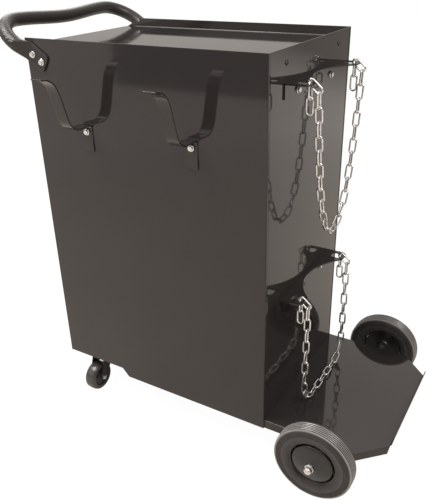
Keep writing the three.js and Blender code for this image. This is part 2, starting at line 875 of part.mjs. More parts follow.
const tyreSeat = tyreBore / 2;
const tyreHalf = tyreWidth / 2;
const treadHalf = tyreHalf - treadInset;
const ribWidth = (2 * treadHalf - (treadRibs - 1) * treadGroove) / treadRibs;
const tyreWall = [
  [tyreSeat, tyreBead - tyreHalf],
  [tyreSeat + tyreBeadRise, tyreBeadEdge - tyreHalf],
  [wheelRadius - tyreBulge, -tyreHalf],
  [wheelRadius - tyreShoulder, tyreShoulderInset - tyreHalf],
];
const tread = [[wheelRadius, -treadHalf]];
for (let i = 1; i < treadRibs; i += 1) {
  const start = i * ribWidth + (i - 1) * treadGroove - treadHalf;
  tread.push(
    [wheelRadius, start],
    [wheelRadius - treadGrooveDepth, start],
    [wheelRadius - treadGrooveDepth, start + treadGroove],
    [wheelRadius, start + treadGroove]);
}
tread.push([wheelRadius, treadHalf]);
const tyreProfile = [...tyreWall, ...tread, ...mirrored(tyreWall), tyreWall[0]].map(
  ([radius, across]) => [radius, wheelHalfTrack + across]);

const tyreInner = wheelHalfTrack - tyreHalf;
const tyreOuter = wheelHalfTrack + tyreHalf;
const hubInnerFace = tyreInner - hubBossStep;
const hubOuterFace = tyreOuter + hubDome;
const hubRim = (tyreSeat - seatGap) * Math.cos(Math.PI / wheelSides);
const hubBoss = axleRadius + hubBossWall;
const hubBore = axleHole / Math.cos(Math.PI / hubSides);
const ringBore = axleHole / Math.cos(Math.PI / ringSides);
const hubProfile = [
  [hubBore, hubInnerFace],
  [hubBoss, hubInnerFace],
  [hubBoss, wheelHalfTrack - hubWeb],
  [hubRim - hubRimWall, wheelHalfTrack - hubWeb],
  [hubRim - hubRimLip, tyreInner + tyreBead],
  [hubRim, tyreInner + tyreBead],
  [hubRim, tyreOuter - tyreBead],
  [hubRim - hubRimLip, tyreOuter],
  [hubRim - hubDomeEdge, tyreOuter + hubDomeStep],
  [hubBoss, hubOuterFace - hubDomeFall],
  [hubBoss - hubFaceEdge, hubOuterFace],
  [hubBore, hubOuterFace],
  [hubBore, hubInnerFace],
];
const washerFace = hubOuterFace + seatGap;
const nutFace = washerFace + washerThickness + seatGap;
const axleHalf = nutFace + axleNutHeight + axleStub;
const axleRod = new THREE.CylinderGeometry(axleRadius, axleRadius, 2 * axleHalf, ringSides);
piece("axle", solid(axleRod.translate(wheelX, 0, wheelRadius)), zinc());

const spacerStart = insideHalf + seatGap;
const hangerOuter = insideHalf - sheet - seatGap;
const hangerTop = platformTop - sheet - seatGap;
for (const [side, sign] of sides) {
  const hangerLength = [wheelX - axleBracketLength / 2, wheelX + axleBracketLength / 2];
  const hanger = join(
    block(
      hangerLength,
      onSide(sign, hangerOuter - axleBracketPlate, hangerOuter),
      [hangerTop - axleBracketDrop, hangerTop]),
    block(
      hangerLength,
      onSide(sign, hangerOuter - axleBracketFlange, hangerOuter),
      [hangerTop - axleBracketPlate, hangerTop]));
  const hole = holeY(axleDiameter, wheelX, wheelRadius, sign * hangerOuter, holeDepth);
  piece(`${side}_axle_hanger`, cut(hanger, hole), blackCoat());
  const spacer = ringProfile(ringBore, axleRadius + spacerWall, spacerStart, hubInnerFace - seatGap);
  piece(`${side}_axle_spacer`, onAxle(spacer, sign, ringSides), zinc());
  piece(`${side}_wheel_hub`, onAxle(hubProfile, sign, hubSides), blackPlastic());
  piece(`${side}_wheel_tyre`, onAxle(tyreProfile, sign, wheelSides), darkRubber());
  const washer = ringProfile(ringBore, axleRadius + washerWall, washerFace, washerFace + washerThickness);
  piece(`${side}_axle_washer`, onAxle(washer, sign, ringSides), zinc());
  const nutBore = axleHole / Math.cos(Math.PI / hexSides);
  const nut = ringProfile(nutBore, axleRadius + axleNutWall, nutFace, nutFace + axleNutHeight);
  piece(`${side}_axle_nut`, onAxle(nut, sign, hexSides), zinc());
}

// Swivel casters, wheels turned outward
const casterPlateTop = platformTop - sheet - seatGap;
const casterPlateBottom = casterPlateTop - casterPlateThickness;
const crownTop = casterPlateBottom - casterRaceHeight - seatGap;
const crownBottom = crownTop - forkPlate;
const pinHeadTop = crownBottom - seatGap;
const forkInner = casterHubWidth / 2 + forkSideGap;
const forkOuter = forkInner + forkPlate;
const casterHubRim = (casterTyreBore / 2 - seatGap) * Math.cos(Math.PI / casterSides);
const casterTyreSeat = casterTyreBore / 2;
const casterHalfTyre = casterWheelWidth / 2;
const casterHalfHub = casterHubWidth / 2;
const casterBore = (casterBolt / 2 + axleClearance) / Math.cos(Math.PI / smallRound);
const casterTyreWall = [
  [casterTyreSeat, casterBead - casterHalfTyre],
  [casterTyreSeat + casterBeadRise, -casterHalfTyre],
  [casterWheelRadius - casterShoulder, -casterHalfTyre],
  [casterWheelRadius, casterShoulderInset - casterHalfTyre],
];
const casterTyreProfile = [...casterTyreWall, ...mirrored(casterTyreWall), casterTyreWall[0]];
const casterHubWallTop = casterBore + casterHubWall;
const casterHubWeb = casterHalfTyre - casterHubDish;
const casterHubFace = [
  [casterBore, -casterHalfHub],
  [casterHubWallTop, -casterHalfHub],
  [casterHubWallTop + casterHubTaper, -casterHubWeb],
  [casterHubRim - casterHubDish, -casterHubWeb],
  [casterHubRim, casterHubLip - casterHalfTyre],
];
const casterHubProfile = [...casterHubFace, ...mirrored(casterHubFace), casterHubFace[0]];
const casterBoltProfile = [
  [0, -forkOuter - seatGap - casterBoltHeadHeight],
  [casterBoltHead / 2, -forkOuter - seatGap - casterBoltHeadHeight],
  [casterBoltHead / 2, -forkOuter - seatGap],
  [casterBolt / 2, -forkOuter - seatGap],
  [casterBolt / 2, forkOuter + seatGap],
  [casterBoltHead / 2, forkOuter + seatGap],
  [casterBoltHead / 2, forkOuter + seatGap + casterBoltHeadHeight],
  [0, forkOuter + seatGap + casterBoltHeadHeight],
];

for (const [side, sign] of sides) {
  const pivotY = sign * casterHalfSpread;
  const wheelY = pivotY + sign * casterTrail;
  const topPlate = block(
    [casterX - casterPlateLength / 2, casterX + casterPlateLength / 2],
    [pivotY - casterPlateWidth / 2, pivotY + casterPlateWidth / 2],
    [casterPlateBottom, casterPlateTop]);
  const race = turned([
    [0, -casterPlateTop],
    [casterRace / 2, -casterPlateTop],
    [casterRace / 2, -crownTop - seatGap],
    [casterPin / 2, -crownTop - seatGap],
    [casterPin / 2, -pinHeadTop],
    [casterPinHead / 2, -pinHeadTop],
    [casterPinHead / 2, -pinHeadTop + casterPinHeadHeight],
    [0, -pinHeadTop + casterPinHeadHeight],
  ], ringSides);
  race.rotateX(-Math.PI / 2);
  piece(`${side}_caster_plate`, join(topPlate, solid(race.translate(casterX, pivotY, 0))), blackSteel());

  const crownStart = -forkCrownLength / 2;
  const eyeRound = [];
  for (let i = 0; i <= 2 * cornerSteps; i += 1) {
    const turn = forkEyeStart - (Math.PI * i) / (2 * cornerSteps);
    eyeRound.push([
      casterTrail + (forkEye / 2) * Math.cos(turn),
      casterWheelRadius + (forkEye / 2) * Math.sin(turn),
    ]);
  }
  const legOutline = [[crownStart, crownTop], [-crownStart, crownTop], ...eyeRound];
  const placedLeg = legOutline.map(([out, z]) => [pivotY + sign * out, z]);
  const crown = block(
    [casterX - forkOuter, casterX + forkOuter],
    [pivotY + crownStart, pivotY - crownStart],
    [crownBottom, crownTop]);
  const legs = [
    plateYZ(placedLeg, [casterX - forkOuter, casterX - forkInner]),
    plateYZ(placedLeg, [casterX + forkInner, casterX + forkOuter]),
  ];
  const pinHole = solid(alongZ(holeAcross(casterPin, holeDepth)).translate(casterX, pivotY, crownTop));
  const boltHole = holeX(casterBolt, casterX, wheelY, casterWheelRadius, 2 * forkOuter + holeDepth);
  piece(`${side}_caster_fork`, cut(join(crown, ...legs), pinHole, boltHole), blackSteel());

  const onFork = (profile, sideCount) => solid(
    alongX(turned(profile, sideCount)).translate(casterX, wheelY, casterWheelRadius));
  piece(`${side}_caster_bolt`, onFork(casterBoltProfile, hexSides), zinc());
  piece(`${side}_caster_hub`, onFork(casterHubProfile, casterHubSides), blackPlastic());
  piece(`${side}_caster_tyre`, onFork(casterTyreProfile, casterSides), darkRubber());
}

// Origin on the floor under the middle of the whole cart
const whole = new THREE.Box3().setFromObject(root);
const middle = whole.getCenter(new THREE.Vector3());
for (const made of root.children) {
  made.geometry.translate(-middle.x, -middle.y, -whole.min.z);
}

export default root;
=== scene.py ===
import math

import bmesh
import bpy
from mathutils import Matrix, Vector


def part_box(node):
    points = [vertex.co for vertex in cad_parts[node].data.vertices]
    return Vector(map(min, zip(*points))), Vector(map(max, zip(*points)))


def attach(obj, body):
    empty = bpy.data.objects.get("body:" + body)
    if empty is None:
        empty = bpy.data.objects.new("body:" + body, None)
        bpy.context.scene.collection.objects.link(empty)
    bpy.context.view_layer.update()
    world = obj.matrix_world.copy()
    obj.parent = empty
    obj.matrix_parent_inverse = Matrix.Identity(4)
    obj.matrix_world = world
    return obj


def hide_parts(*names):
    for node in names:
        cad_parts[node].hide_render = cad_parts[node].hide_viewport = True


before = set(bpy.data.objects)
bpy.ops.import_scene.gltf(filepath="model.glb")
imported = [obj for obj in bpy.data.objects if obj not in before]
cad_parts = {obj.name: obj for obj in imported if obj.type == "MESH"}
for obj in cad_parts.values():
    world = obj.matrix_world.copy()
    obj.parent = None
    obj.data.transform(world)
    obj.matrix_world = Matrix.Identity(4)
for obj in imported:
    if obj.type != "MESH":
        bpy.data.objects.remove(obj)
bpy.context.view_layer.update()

# Sizes are in millimetres and become metres where a mesh is made. Finishes, lamps and the flag's size are
# in metres.
MM = 0.001
FULL_TURN = 2 * math.pi
PARTS = {"VERT": "verts", "EDGE": "edges", "FACE": "faces"}


def node_box(name):
    low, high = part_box(name)
    return low / MM, high / MM


def node_middle(name):
    low, high = node_box(name)
    return (low + high) / 2


panel_low, panel_high = node_box("left_side_panel")
REAR = panel_low.x
FRONT = panel_high.x
HALF_WIDTH = panel_high.y
PANEL_FOOT = panel_low.z
PANEL_TOP = panel_high.z
SHEET = 2
SEAT = 0.3


# Modelling by hand


def leave_edit():
    if bpy.context.mode != "OBJECT":
        bpy.ops.object.mode_set(mode="OBJECT")


def deselect():
    leave_edit()
    bpy.ops.object.select_all(action="DESELECT")


def alone(piece):
    deselect()
    piece.select_set(True)
    bpy.context.view_layer.objects.active = piece


def edit(piece):
    alone(piece)
    bpy.ops.object.mode_set(mode="EDIT")


def added(name):
    piece = bpy.context.object
    piece.name = name
    piece.data.name = name
    return piece


def spot(part):
    """Middle of a vertex, edge or face, in millimetres."""
    if isinstance(part, bmesh.types.BMVert):
        return part.co / MM
    corners = [vert.co for vert in part.verts]
    return sum(corners, Vector()) / (len(corners) * MM)


def pick(kind, test):
    bpy.ops.mesh.select_mode(type=kind)
    bpy.ops.mesh.select_all(action="DESELECT")
    data = bpy.context.edit_object.data
    mesh = bmesh.from_edit_mesh(data)
    for part in getattr(mesh, PARTS[kind]):
        if test(part):
            part.select_set(True)
    mesh.select_flush_mode()
    bmesh.update_edit_mesh(data)


def pick_all():
    bpy.ops.mesh.select_all(action="SELECT")


def shift(move):
    bpy.ops.transform.translate(value=Vector(move) * MM)


def near(a, b, slack=0.01):
    return abs(a - b) < slack


def mix(low, high, share):
    return low + (high - low) * share


def modify(piece, kind, **settings):
    alone(piece)
    modifier = piece.modifiers.new(kind.lower(), kind)
    for key, value in settings.items():
        setattr(modifier, key, value)
    bpy.ops.object.modifier_apply(modifier=modifier.name)


def clean(piece):
    edit(piece)
    pick_all()
    bpy.ops.mesh.remove_doubles(threshold=1e-6)
    bpy.ops.mesh.dissolve_degenerate(threshold=1e-7)
    pick_all()
    bpy.ops.mesh.normals_make_consistent(inside=False)
    leave_edit()


def smooth(piece, degrees=35):
    alone(piece)
    bpy.ops.object.shade_smooth_by_angle(angle=math.radians(degrees))


def soften(piece, width=0.3, degrees=50):
    """Break the sharp edges and keep the flats looking flat."""
    modify(piece, "BEVEL", width=width * MM, segments=2, limit_method="ANGLE",
           angle_limit=math.radians(degrees))
    smooth(piece, 60)
    modify(piece, "WEIGHTED_NORMAL", keep_sharp=True)


def moved(piece, matrix):
    """Place a piece through its mesh, turning it right side out again if mirrored."""
    piece.data.transform(matrix)
    if matrix.determinant() < 0:
        piece.data.flip_normals()
    return piece


def copied(piece, name, matrix):
    twin = piece.copy()
    twin.data = piece.data.copy()
    twin.name = name
    twin.data.name = name
    bpy.context.collection.objects.link(twin)
    return moved(twin, matrix)


def discard(piece):
    data = piece.data
    bpy.data.objects.remove(piece)
    bpy.data.meshes.remove(data)


def joined(pieces, name):
    alone(pieces[0])
    for piece in pieces[1:]:
        piece.select_set(True)
    bpy.ops.object.join()
    return added(name)


def combine(piece, other, operation="DIFFERENCE"):
    """Cut another piece out of this one, or add it on, and throw the other away."""
    modify(piece, "BOOLEAN", operation=operation, solver="EXACT", object=other)
    discard(other)


# Places and shapes

ACROSS = Matrix.Scale(-1, 4, (0, 1, 0))
ON_EDGE = Matrix(((0, 0, 1, 0), (1, 0, 0, 0), (0, 1, 0, 0), (0, 0, 0, 1)))
HOLE_SIDES = 24


def at(x, y, z):
    return Matrix.Translation(Vector((x, y, z)) * MM)


def arc(centre, radius, start, stop, steps):
    """Points along part of a circle."""
    turns = [mix(start, stop, step / steps) for step in range(steps + 1)]
    return [(centre[0] + radius * math.cos(turn), centre[1] + radius * math.sin(turn)) for turn in turns]


def block(name, size, middle=(0, 0, 0)):
    """A cube drawn out to a size round a middle."""
    deselect()
    bpy.ops.mesh.primitive_cube_add(size=1)
    return moved(added(name), at(*middle) @ Matrix.Diagonal((*(Vector(size) * MM), 1)))


def outline_ring(name, points, fill="NOTHING"):
    """A circle with as many corners as the outline, each moved to its place."""
    deselect()
    bpy.ops.mesh.primitive_circle_add(vertices=len(points), radius=1, fill_type=fill)
    ring = added(name)
    for vert, point in zip(ring.data.vertices, points):
        vert.co = Vector(point) * MM
    return ring


def both_ways(half, middle=()):
    """Half a profile, mirrored to the other end of its axis."""
    return [(radius, -along) for radius, along in half] + [*middle] + half[::-1]


def turned(name, profile, sides, matrix=None):
    """A profile of (radius, distance along the axis) spun about Z."""
    piece = outline_ring(name, [(radius, 0, along) for radius, along in profile])
    edit(piece)
    pick("EDGE", lambda edge: all(near(vert.co.x, 0, 1e-9) for vert in edge.verts))
    bpy.ops.mesh.delete(type="EDGE_FACE")
    pick_all()
    bpy.ops.mesh.spin(steps=sides, angle=FULL_TURN, center=(0, 0, 0), axis=(0, 0, 1))
    clean(piece)
    smooth(piece)
    return moved(piece, matrix) if matrix else piece


def slab(name, points, thickness):
    """A flat outline thickened along Z."""
    piece = outline_ring(name, points, "NGON")
    edit(piece)
    pick_all()
    bpy.ops.mesh.extrude_region_move(TRANSFORM_OT_translate={"value": (0, 0, thickness * MM)})
    clean(piece)
    return piece


def sheet_plane(name, size, matrix):
    deselect()
    bpy.ops.mesh.primitive_plane_add(size=1)
    piece = added(name)
    piece.data.transform(matrix @ Matrix.Diagonal((size[0] * MM, size[1] * MM, 1, 1)))
    return piece


def crease(place, normal):
    """A straight line across the sheet, where it will be cut or folded."""
    pick_all()
    bpy.ops.mesh.bisect(plane_co=Vector(place) * MM, plane_no=normal)


def fold(test, move):
    """Draw a flange out of the edges that pass the test."""
    pick("EDGE", lambda edge: edge.is_boundary and test(spot(edge)))
    bpy.ops.mesh.extrude_edges_move(TRANSFORM_OT_translate={"value": Vector(move) * MM})


def round_folds(test, radius):
    pick("EDGE", lambda edge: not edge.is_boundary and edge.calc_face_angle(0) > 0.3 and test(spot(edge)))
    bpy.ops.mesh.bevel(offset=radius * MM, segments=5, affect="EDGES")


def thicken(piece, thickness):
    leave_edit()
    modify(piece, "SOLIDIFY", thickness=thickness * MM, offset=-1, use_even_offset=True,
           use_quality_normals=True)


def facing(outward, place):
    """Turns a piece made along +Z to face outward at a place."""
    return at(*place) @ Vector((0, 0, 1)).rotation_difference(Vector(outward)).to_matrix().to_4x4()


def drill(sheet, axis, face, nodes, radius):
    """A round hole through a sheet's face for each bolt or screw."""
    points = [(x, y, -2 * SHEET) for x, y in arc((0, 0), radius, 0, FULL_TURN, HOLE_SIDES)[:-1]]
    outward = Matrix.Identity(3)[axis]
    for node in nodes:
        place = node_middle(node)
        place[axis] = face
        combine(sheet, moved(slab("hole_cutter", points, 4 * SHEET), facing(outward, place)))


def swept(name, rings):
    """A skin drawn ring by ring: the end face is extruded and its corners put in their next places."""
    piece = outline_ring(name, rings[0], "NGON")
    edit(piece)
    pick_all()
    rank = {index: index for index in range(len(rings[0]))}
    for ring in rings[1:]:
        bpy.ops.mesh.extrude_region_move()
        mesh = bmesh.from_edit_mesh(piece.data)
        following = {}
        for vert in mesh.verts:
            if not vert.select:
                continue
            behind = next(edge.other_vert(vert) for edge in vert.link_edges
                          if not edge.other_vert(vert).select)
            following[vert.index] = rank[behind.index]
            vert.co = Vector(ring[rank[behind.index]]) * MM
        rank = following
        bmesh.update_edit_mesh(piece.data)
    clean(piece)
    smooth(piece)
    return piece


# Finishes


class Wire:
    """A socket that arithmetic works on: each sign adds a Math node."""

    def __init__(self, finish, socket):
        self.finish = finish
        self.socket = socket

    def sum_of(self, operation, first, second):
        return self.finish.node("ShaderNodeMath", {"operation": operation}, {0: first, 1: second})

    def __add__(self, other):
        return self.sum_of("ADD", self, other)

    def __radd__(self, other):
        return self.sum_of("ADD", other, self)

    def __sub__(self, other):
        return self.sum_of("SUBTRACT", self, other)

    def __rsub__(self, other):
        return self.sum_of("SUBTRACT", other, self)

    def __mul__(self, other):
        return self.sum_of("MULTIPLY", self, other)


class Finish:
    """The nodes of one material or of the world."""

    def __init__(self, owner):
        owner.use_nodes = True
        self.owner = owner
        self.tree = owner.node_tree

    def node(self, kind, settings=None, sockets=None, out=0):
        made = self.tree.nodes.new(kind)
        for key, value in (settings or {}).items():
            setattr(made, key, value)
        self.feed(made, sockets or {})
        return Wire(self, made.outputs[out])

    def feed(self, made, sockets):
        for key, value in sockets.items():
            if isinstance(value, Wire):
                self.tree.links.new(value.socket, made.inputs[key])
            else:
                made.inputs[key].default_value = value

    def shader(self, name="Principled BSDF", **sockets):
        """Set the sockets of a node that was there from the start, underscores standing for spaces."""
        self.feed(self.tree.nodes[name], {key.replace("_", " "): value for key, value in sockets.items()})

    def place(self, centre=(0, 0, 0)):
        """Object coordinates, measured from a centre in millimetres."""
        spot_on = self.node("ShaderNodeTexCoord", out="Object")
        away = tuple(-value * MM for value in centre)
        return self.node("ShaderNodeMapping", None, {"Vector": spot_on, "Location": away})

    def noise(self, place, scale, detail=2.0, roughness=0.5):
        return self.node("ShaderNodeTexNoise", None, {
            "Vector": place, "Scale": scale, "Detail": detail, "Roughness": roughness}, "Fac")

    def along(self, place, axis):
        return self.node("ShaderNodeSeparateXYZ", None, {0: place}, axis)

    def size_of(self, value):
        return self.node("ShaderNodeMath", {"operation": "ABSOLUTE"}, {0: value})

    def between(self, share, low, high, start=0.0, stop=1.0):
        return self.node("ShaderNodeMapRange", {"clamp": True}, {
            "Value": share, "From Min": start, "From Max": stop, "To Min": low, "To Max": high}, "Result")

    def wave(self, value, pitch, crest):
        """A ripple from 0 to 1, with one crest at a place in millimetres."""
        turn = (value - crest * MM) * (FULL_TURN / (pitch * MM))
        return self.node("ShaderNodeMath", {"operation": "COSINE"}, {0: turn}) * 0.5 + 0.5

    def tones(self, share, *stops):
        colour = self.node("ShaderNodeValToRGB", None, {"Fac": share}, "Color")
        ramp = colour.socket.node.color_ramp.elements
        while len(ramp) < len(stops):
            ramp.new(1)
        for stop, (place, tone) in zip(ramp, stops):
            stop.position = place
            stop.color = (*tone, 1)
        return colour

    def blend(self, share, first, second):
        return self.node("ShaderNodeMix", {"data_type": "RGBA"}, {0: share, 6: first, 7: second}, 2)

    def bump(self, height, strength, depth):
        return self.node("ShaderNodeBump", None, {
            "Strength": strength, "Distance": depth * MM, "Height": height}, "Normal")


def material(name):
    return Finish(bpy.data.materials.new(name))


WARM = (1, 0.95, 0.94, 1)


def mottled(name, tone_noise, tones, gloss_noise, gloss, grain_noise, grain, **sockets):
    """A finish made of three noises: drifts in tone, drifts in gloss and a fine grain."""
    finish = material(name)
    place = finish.place()
    finish.shader(
        Base_Color=finish.tones(finish.noise(place, *tone_noise), *tones),
        Roughness=finish.between(finish.noise(place, *gloss_noise), *gloss),
        Normal=finish.bump(finish.noise(place, *grain_noise), *grain),
        **sockets)
    return finish.owner


# Black powder coat: a deep even gloss with a faint orange peel
COAT = mottled(
    "gloss_black_powder_coat", (4, 3), ((0.3, (0.025, 0.0218, 0.021)), (0.7, (0.031, 0.0268, 0.0256))),
    (9, 4), (0.04, 0.08), (420, 1), (0.06, 0.15), IOR=1.5, Specular_Tint=WARM)
# Bright zinc: pale metal with cloudy patches and fine scratches
ZINC = mottled(
    "bright_zinc_plate", (160, 3),
    ((0.25, (0.6, 0.585, 0.57)), (0.5, (0.76, 0.75, 0.735)), (0.8, (0.87, 0.86, 0.845))),
    (500, 3), (0.14, 0.32), (2200, 2, 0.7), (0.12, 0.05), Metallic=1.0)
SCREW = mottled(
    "blackened_screw", (300, 3), ((0.3, (0.05, 0.05, 0.052)), (0.7, (0.11, 0.108, 0.105))),
    (300, 3), (0.3, 0.45), (1800,), (0.1, 0.05), Metallic=1.0)
# Satin black on pressed steel, a little greyer on its worn spots
STEEL = mottled(
    "satin_black_steel", (90, 5, 0.65), ((0.45, (0.017, 0.017, 0.018)), (0.75, (0.045, 0.045, 0.047))),
    (90, 5, 0.65), (0.24, 0.42), (900, 2), (0.12, 0.08), IOR=1.55)
HUB = mottled(
    "moulded_black_hub", (60, 3), ((0.3, (0.022, 0.02, 0.0195)), (0.7, (0.03, 0.0272, 0.0265))),
    (25, 3), (0.16, 0.26), (1500, 2), (0.1, 0.05))


def tyre_rubber(name, centre, axis, tread_half, wall_gloss, ribs=None):
    """Grey-black rubber, shinier on the tread; on a ribbed tyre a painted highlight lightens the rib crests,
    and painted shade darkens the mould rings and the wall round the hub.
    """
    rubber = material(name)
    place = rubber.place(centre)
    across = rubber.size_of(rubber.along(place, axis))
    on_tread = rubber.between(across, 1, 0, tread_half * MM, (tread_half + 0.8) * MM)
    dust = rubber.noise(place, 70, 5, 0.6)
    grain = rubber.noise(place, 900, 3)
    shine = rubber.between(dust, wall_gloss, wall_gloss + 0.14)
    tone = rubber.tones(dust, (0.35, (0.05, 0.0455, 0.0435)), (0.7, (0.07, 0.064, 0.061)))
    if ribs:
        high, out = rubber.along(place, "Z"), rubber.along(place, "X")
        radius = rubber.node("ShaderNodeMath", {"operation": "SQRT"}, {0: high * high + out * out})
        crest = rubber.wave(across, ribs, 0)
        # Painted shade: dark rings in the mould grooves, and a darker wall where it rolls in round the hub.
        ring = rubber.wave(radius, 3, 72) * rubber.between(radius, 0, 0.65, 0.0705, 0.071)
        bead = rubber.between(radius, 0.85, 0, 0.05, 0.066)
        tone = rubber.blend(ring + bead, tone, (0.012, 0.0112, 0.0108, 1))
        # Painted highlight: the tread's rib crests are lightened in the base colour.
        crest_highlight = rubber.tones(crest, (0.25, (0.022, 0.0202, 0.0194)), (0.9, (0.34, 0.314, 0.298)))
        tone = rubber.blend(on_tread * rubber.between(radius, 0, 1, 0.082, 0.084), tone, crest_highlight)
    rubber.shader(
        Base_Color=tone,
        Roughness=shine - on_tread * (wall_gloss - 0.12),
        Normal=rubber.bump(grain * 0.3, 0.4, 0.2),
        Specular_Tint=WARM)
    return rubber.owner


def paint(piece, finish):
    piece.data.materials.clear()
    piece.data.materials.append(finish)


def fit(piece, finish, body, node):
    """Give a finished piece its finish, and let it stand for its CAD node on the node's body."""
    paint(piece, finish)
    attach(piece, body)
    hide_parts(node)


def both_sides(left, finish, body, node, soft=None):
    """Copy a left-hand piece to the right, and fit both."""
    right = copied(left, left.name.replace("left", "right"), ACROSS)
    for piece, side in ((left, "left"), (right, "right")):
        if soft:
            soften(piece, soft)
        fit(piece, finish, body.format(side), node.format(side))


# Cabinet


def on_length(x):
    """Distance from the cabinet's rear edge to the frame's X."""
    return REAR + x


STEP_START = 175
STEP_END = 194
REAR_FOOT = 104.5
PLATE_TOP = 106
FLANGE_FOOT = PLATE_TOP + SEAT
TRAY_FLOOR = 887
TRAY_RIM = 10.8
FOLD_RADIUS = 2.5
TRAY_FOLD = 1.5
SEAM = 2.6
FRONT_RETURN = 7
REAR_RETURN = 14
BOLT_HOLE = 4.3
SCREW_HOLE = 2.8
SIDE_PLACES = ("left_rear", "left_front", "right_rear", "right_front")
FRONT_PLACES = ("upper_left", "upper_right", "lower_left", "lower_right")
TRAY_SCREWS = ("left_tray_screw", "right_tray_screw")


def side_panels():
    """A flat side with its rear foot cut higher, turned in at the front corner and at the rear edge."""
    length = FRONT - REAR
    height = PANEL_TOP - PANEL_FOOT
    stand = Matrix.Rotation(-math.pi / 2, 4, "X")
    middle = at((REAR + FRONT) / 2, HALF_WIDTH, (PANEL_FOOT + PANEL_TOP) / 2)
    panel = sheet_plane("left_side_sheet", (length, height), middle @ stand)
    edit(panel)
    crease((on_length(STEP_START), 0, 0), (1, 0, 0))
    crease((on_length(STEP_END), 0, 0), (1, 0, 0))
    pick("VERT", lambda vert: near(spot(vert).z, PANEL_FOOT) and spot(vert).x < on_length(STEP_START) + 1)
    shift((0, 0, REAR_FOOT - PANEL_FOOT))
    crease((0, 0, FLANGE_FOOT), (0, 0, 1))
    crease((0, 0, TRAY_FLOOR - SHEET - SEAT), (0, 0, 1))
    fold(lambda place: near(place.x, FRONT) and place.z > FLANGE_FOOT, (0, -FRONT_RETURN, 0))
    fold(lambda place: near(place.x, REAR) and FLANGE_FOOT < place.z < TRAY_FLOOR - SHEET, (0, -REAR_RETURN, 0))
    round_folds(lambda place: near(place.y, HALF_WIDTH), FOLD_RADIUS)
    thicken(panel, SHEET)
    side_bolts = [f"{place}_{kind}_bolt" for place in SIDE_PLACES[:2] for kind in ("handle", "hook")]
    drill(panel, 1, HALF_WIDTH, side_bolts, BOLT_HOLE)
    both_sides(panel, COAT, "frame", "{}_side_panel", soft=0.4)


def front_sheet():
    """A flat sheet between the side panels' turned-in corners, its seam wider on the left."""
    low, high = node_box("front_panel")
    upright = Matrix.Rotation(math.pi / 2, 4, "Y")
    middle = at(FRONT, -SEAM / 2, (low.z + high.z) / 2)
    sheet = sheet_plane("front_sheet", (high.z - low.z, high.y - low.y - SEAM), middle @ upright)
    thicken(sheet, SHEET)
    drill(sheet, 0, FRONT, [f"{place}_bracket_bolt" for place in FRONT_PLACES], BOLT_HOLE)
    drill(sheet, 0, FRONT, TRAY_SCREWS, SCREW_HOLE)
    soften(sheet, 0.4)
    fit(sheet, COAT, "frame", "front_panel")


def top_tray():
    """A pan with low sides turned up, swept back at the open end, and a flange down behind the front."""
    low, high = node_box("top_tray")
    inner = high.y - SHEET
    sweep = (REAR - low.x) * TRAY_RIM / (high.z - TRAY_FLOOR)
    pan = sheet_plane("top_tray_pan", (high.x - low.x, 2 * inner),
                      at((low.x + high.x) / 2, 0, TRAY_FLOOR))
    edit(pan)
    fold(lambda place: near(abs(place.y), inner), (0, 0, TRAY_RIM))
    pick("VERT", lambda vert: near(spot(vert).z, TRAY_FLOOR + TRAY_RIM) and near(spot(vert).x, low.x))
    shift((sweep, 0, 0))
    fold(lambda place: near(place.x, high.x) and near(place.z, TRAY_FLOOR), (0, 0, low.z - TRAY_FLOOR))
    round_folds(lambda place: near(abs(place.y), inner) and near(place.z, TRAY_FLOOR), TRAY_FOLD)
    thicken(pan, SHEET)
    soften(pan, 0.95)
    fit(pan, COAT, "frame", "top_tray")


def inner_shelf():
    """A shelf with all four sides turned down."""
    low, high = node_box("middle_shelf")
    shelf = sheet_plane("inner_shelf", (high.x - low.x, high.y - low.y),
                        at((low.x + high.x) / 2, 0, high.z))
    edit(shelf)
    fold(lambda place: True, (0, 0, low.z - high.z))
    round_folds(lambda place: True, FOLD_RADIUS)
    thicken(shelf, SHEET)
    soften(shelf)
    fit(shelf, COAT, "frame", "middle_shelf")


CHAMFER = 63
LIP_NOTCH = 4
LIP_LEAN = 3
LIP_CUT = 5


def shift_pair(place, move):
    """Move the corner at a place, and its mirror image on the other side."""
    for side in (1, -1):
        corner = Vector((place[0], side * place[1], place[2]))
        pick("VERT", lambda vert: near((spot(vert) - corner).length, 0))
        shift((move[0], side * move[1], move[2]))


def platform():
    """The base sheet: sides and cut corners turned down, the front edge turned up as a lip."""
    low, high = node_box("base_platform")
    lip_inner = high.x - SHEET
    notch = lip_inner - LIP_NOTCH
    lip_half = high.y - CHAMFER
    sheet = sheet_plane("base_platform_sheet", (notch - low.x, 2 * high.y),
                        at((low.x + notch) / 2, 0, PLATE_TOP))
    edit(sheet)
    crease((on_length(STEP_END), 0, 0), (1, 0, 0))
    crease((high.x - CHAMFER, 0, 0), (1, 0, 0))
    crease((0, lip_half, 0), (0, 1, 0))
    crease((0, -lip_half, 0), (0, 1, 0))
    cut_half = high.y - (notch - (high.x - CHAMFER))
    shift_pair((notch, high.y, PLATE_TOP), (0, cut_half - high.y, 0))
    fold(lambda place: on_length(STEP_END) < place.x < notch - 1 and abs(place.y) > lip_half + 3,
         (0, 0, low.z - PLATE_TOP))
    shift_pair((notch, cut_half, PLATE_TOP), (LIP_NOTCH, -LIP_NOTCH, 0))
    fold(lambda place: near(place.x, notch) and abs(place.y) < lip_half - 1, (LIP_NOTCH, 0, 0))
    fold(lambda place: near(place.x, lip_inner) and abs(place.y) < lip_half, (LIP_LEAN, 0, high.z - PLATE_TOP))
    shift_pair((lip_inner + LIP_LEAN, lip_half, high.z), (0, -LIP_CUT, 0))
    round_folds(lambda place: True, FOLD_RADIUS)
    thicken(sheet, SHEET)
    soften(sheet)
    fit(sheet, COAT, "frame", "base_platform")


# Handle

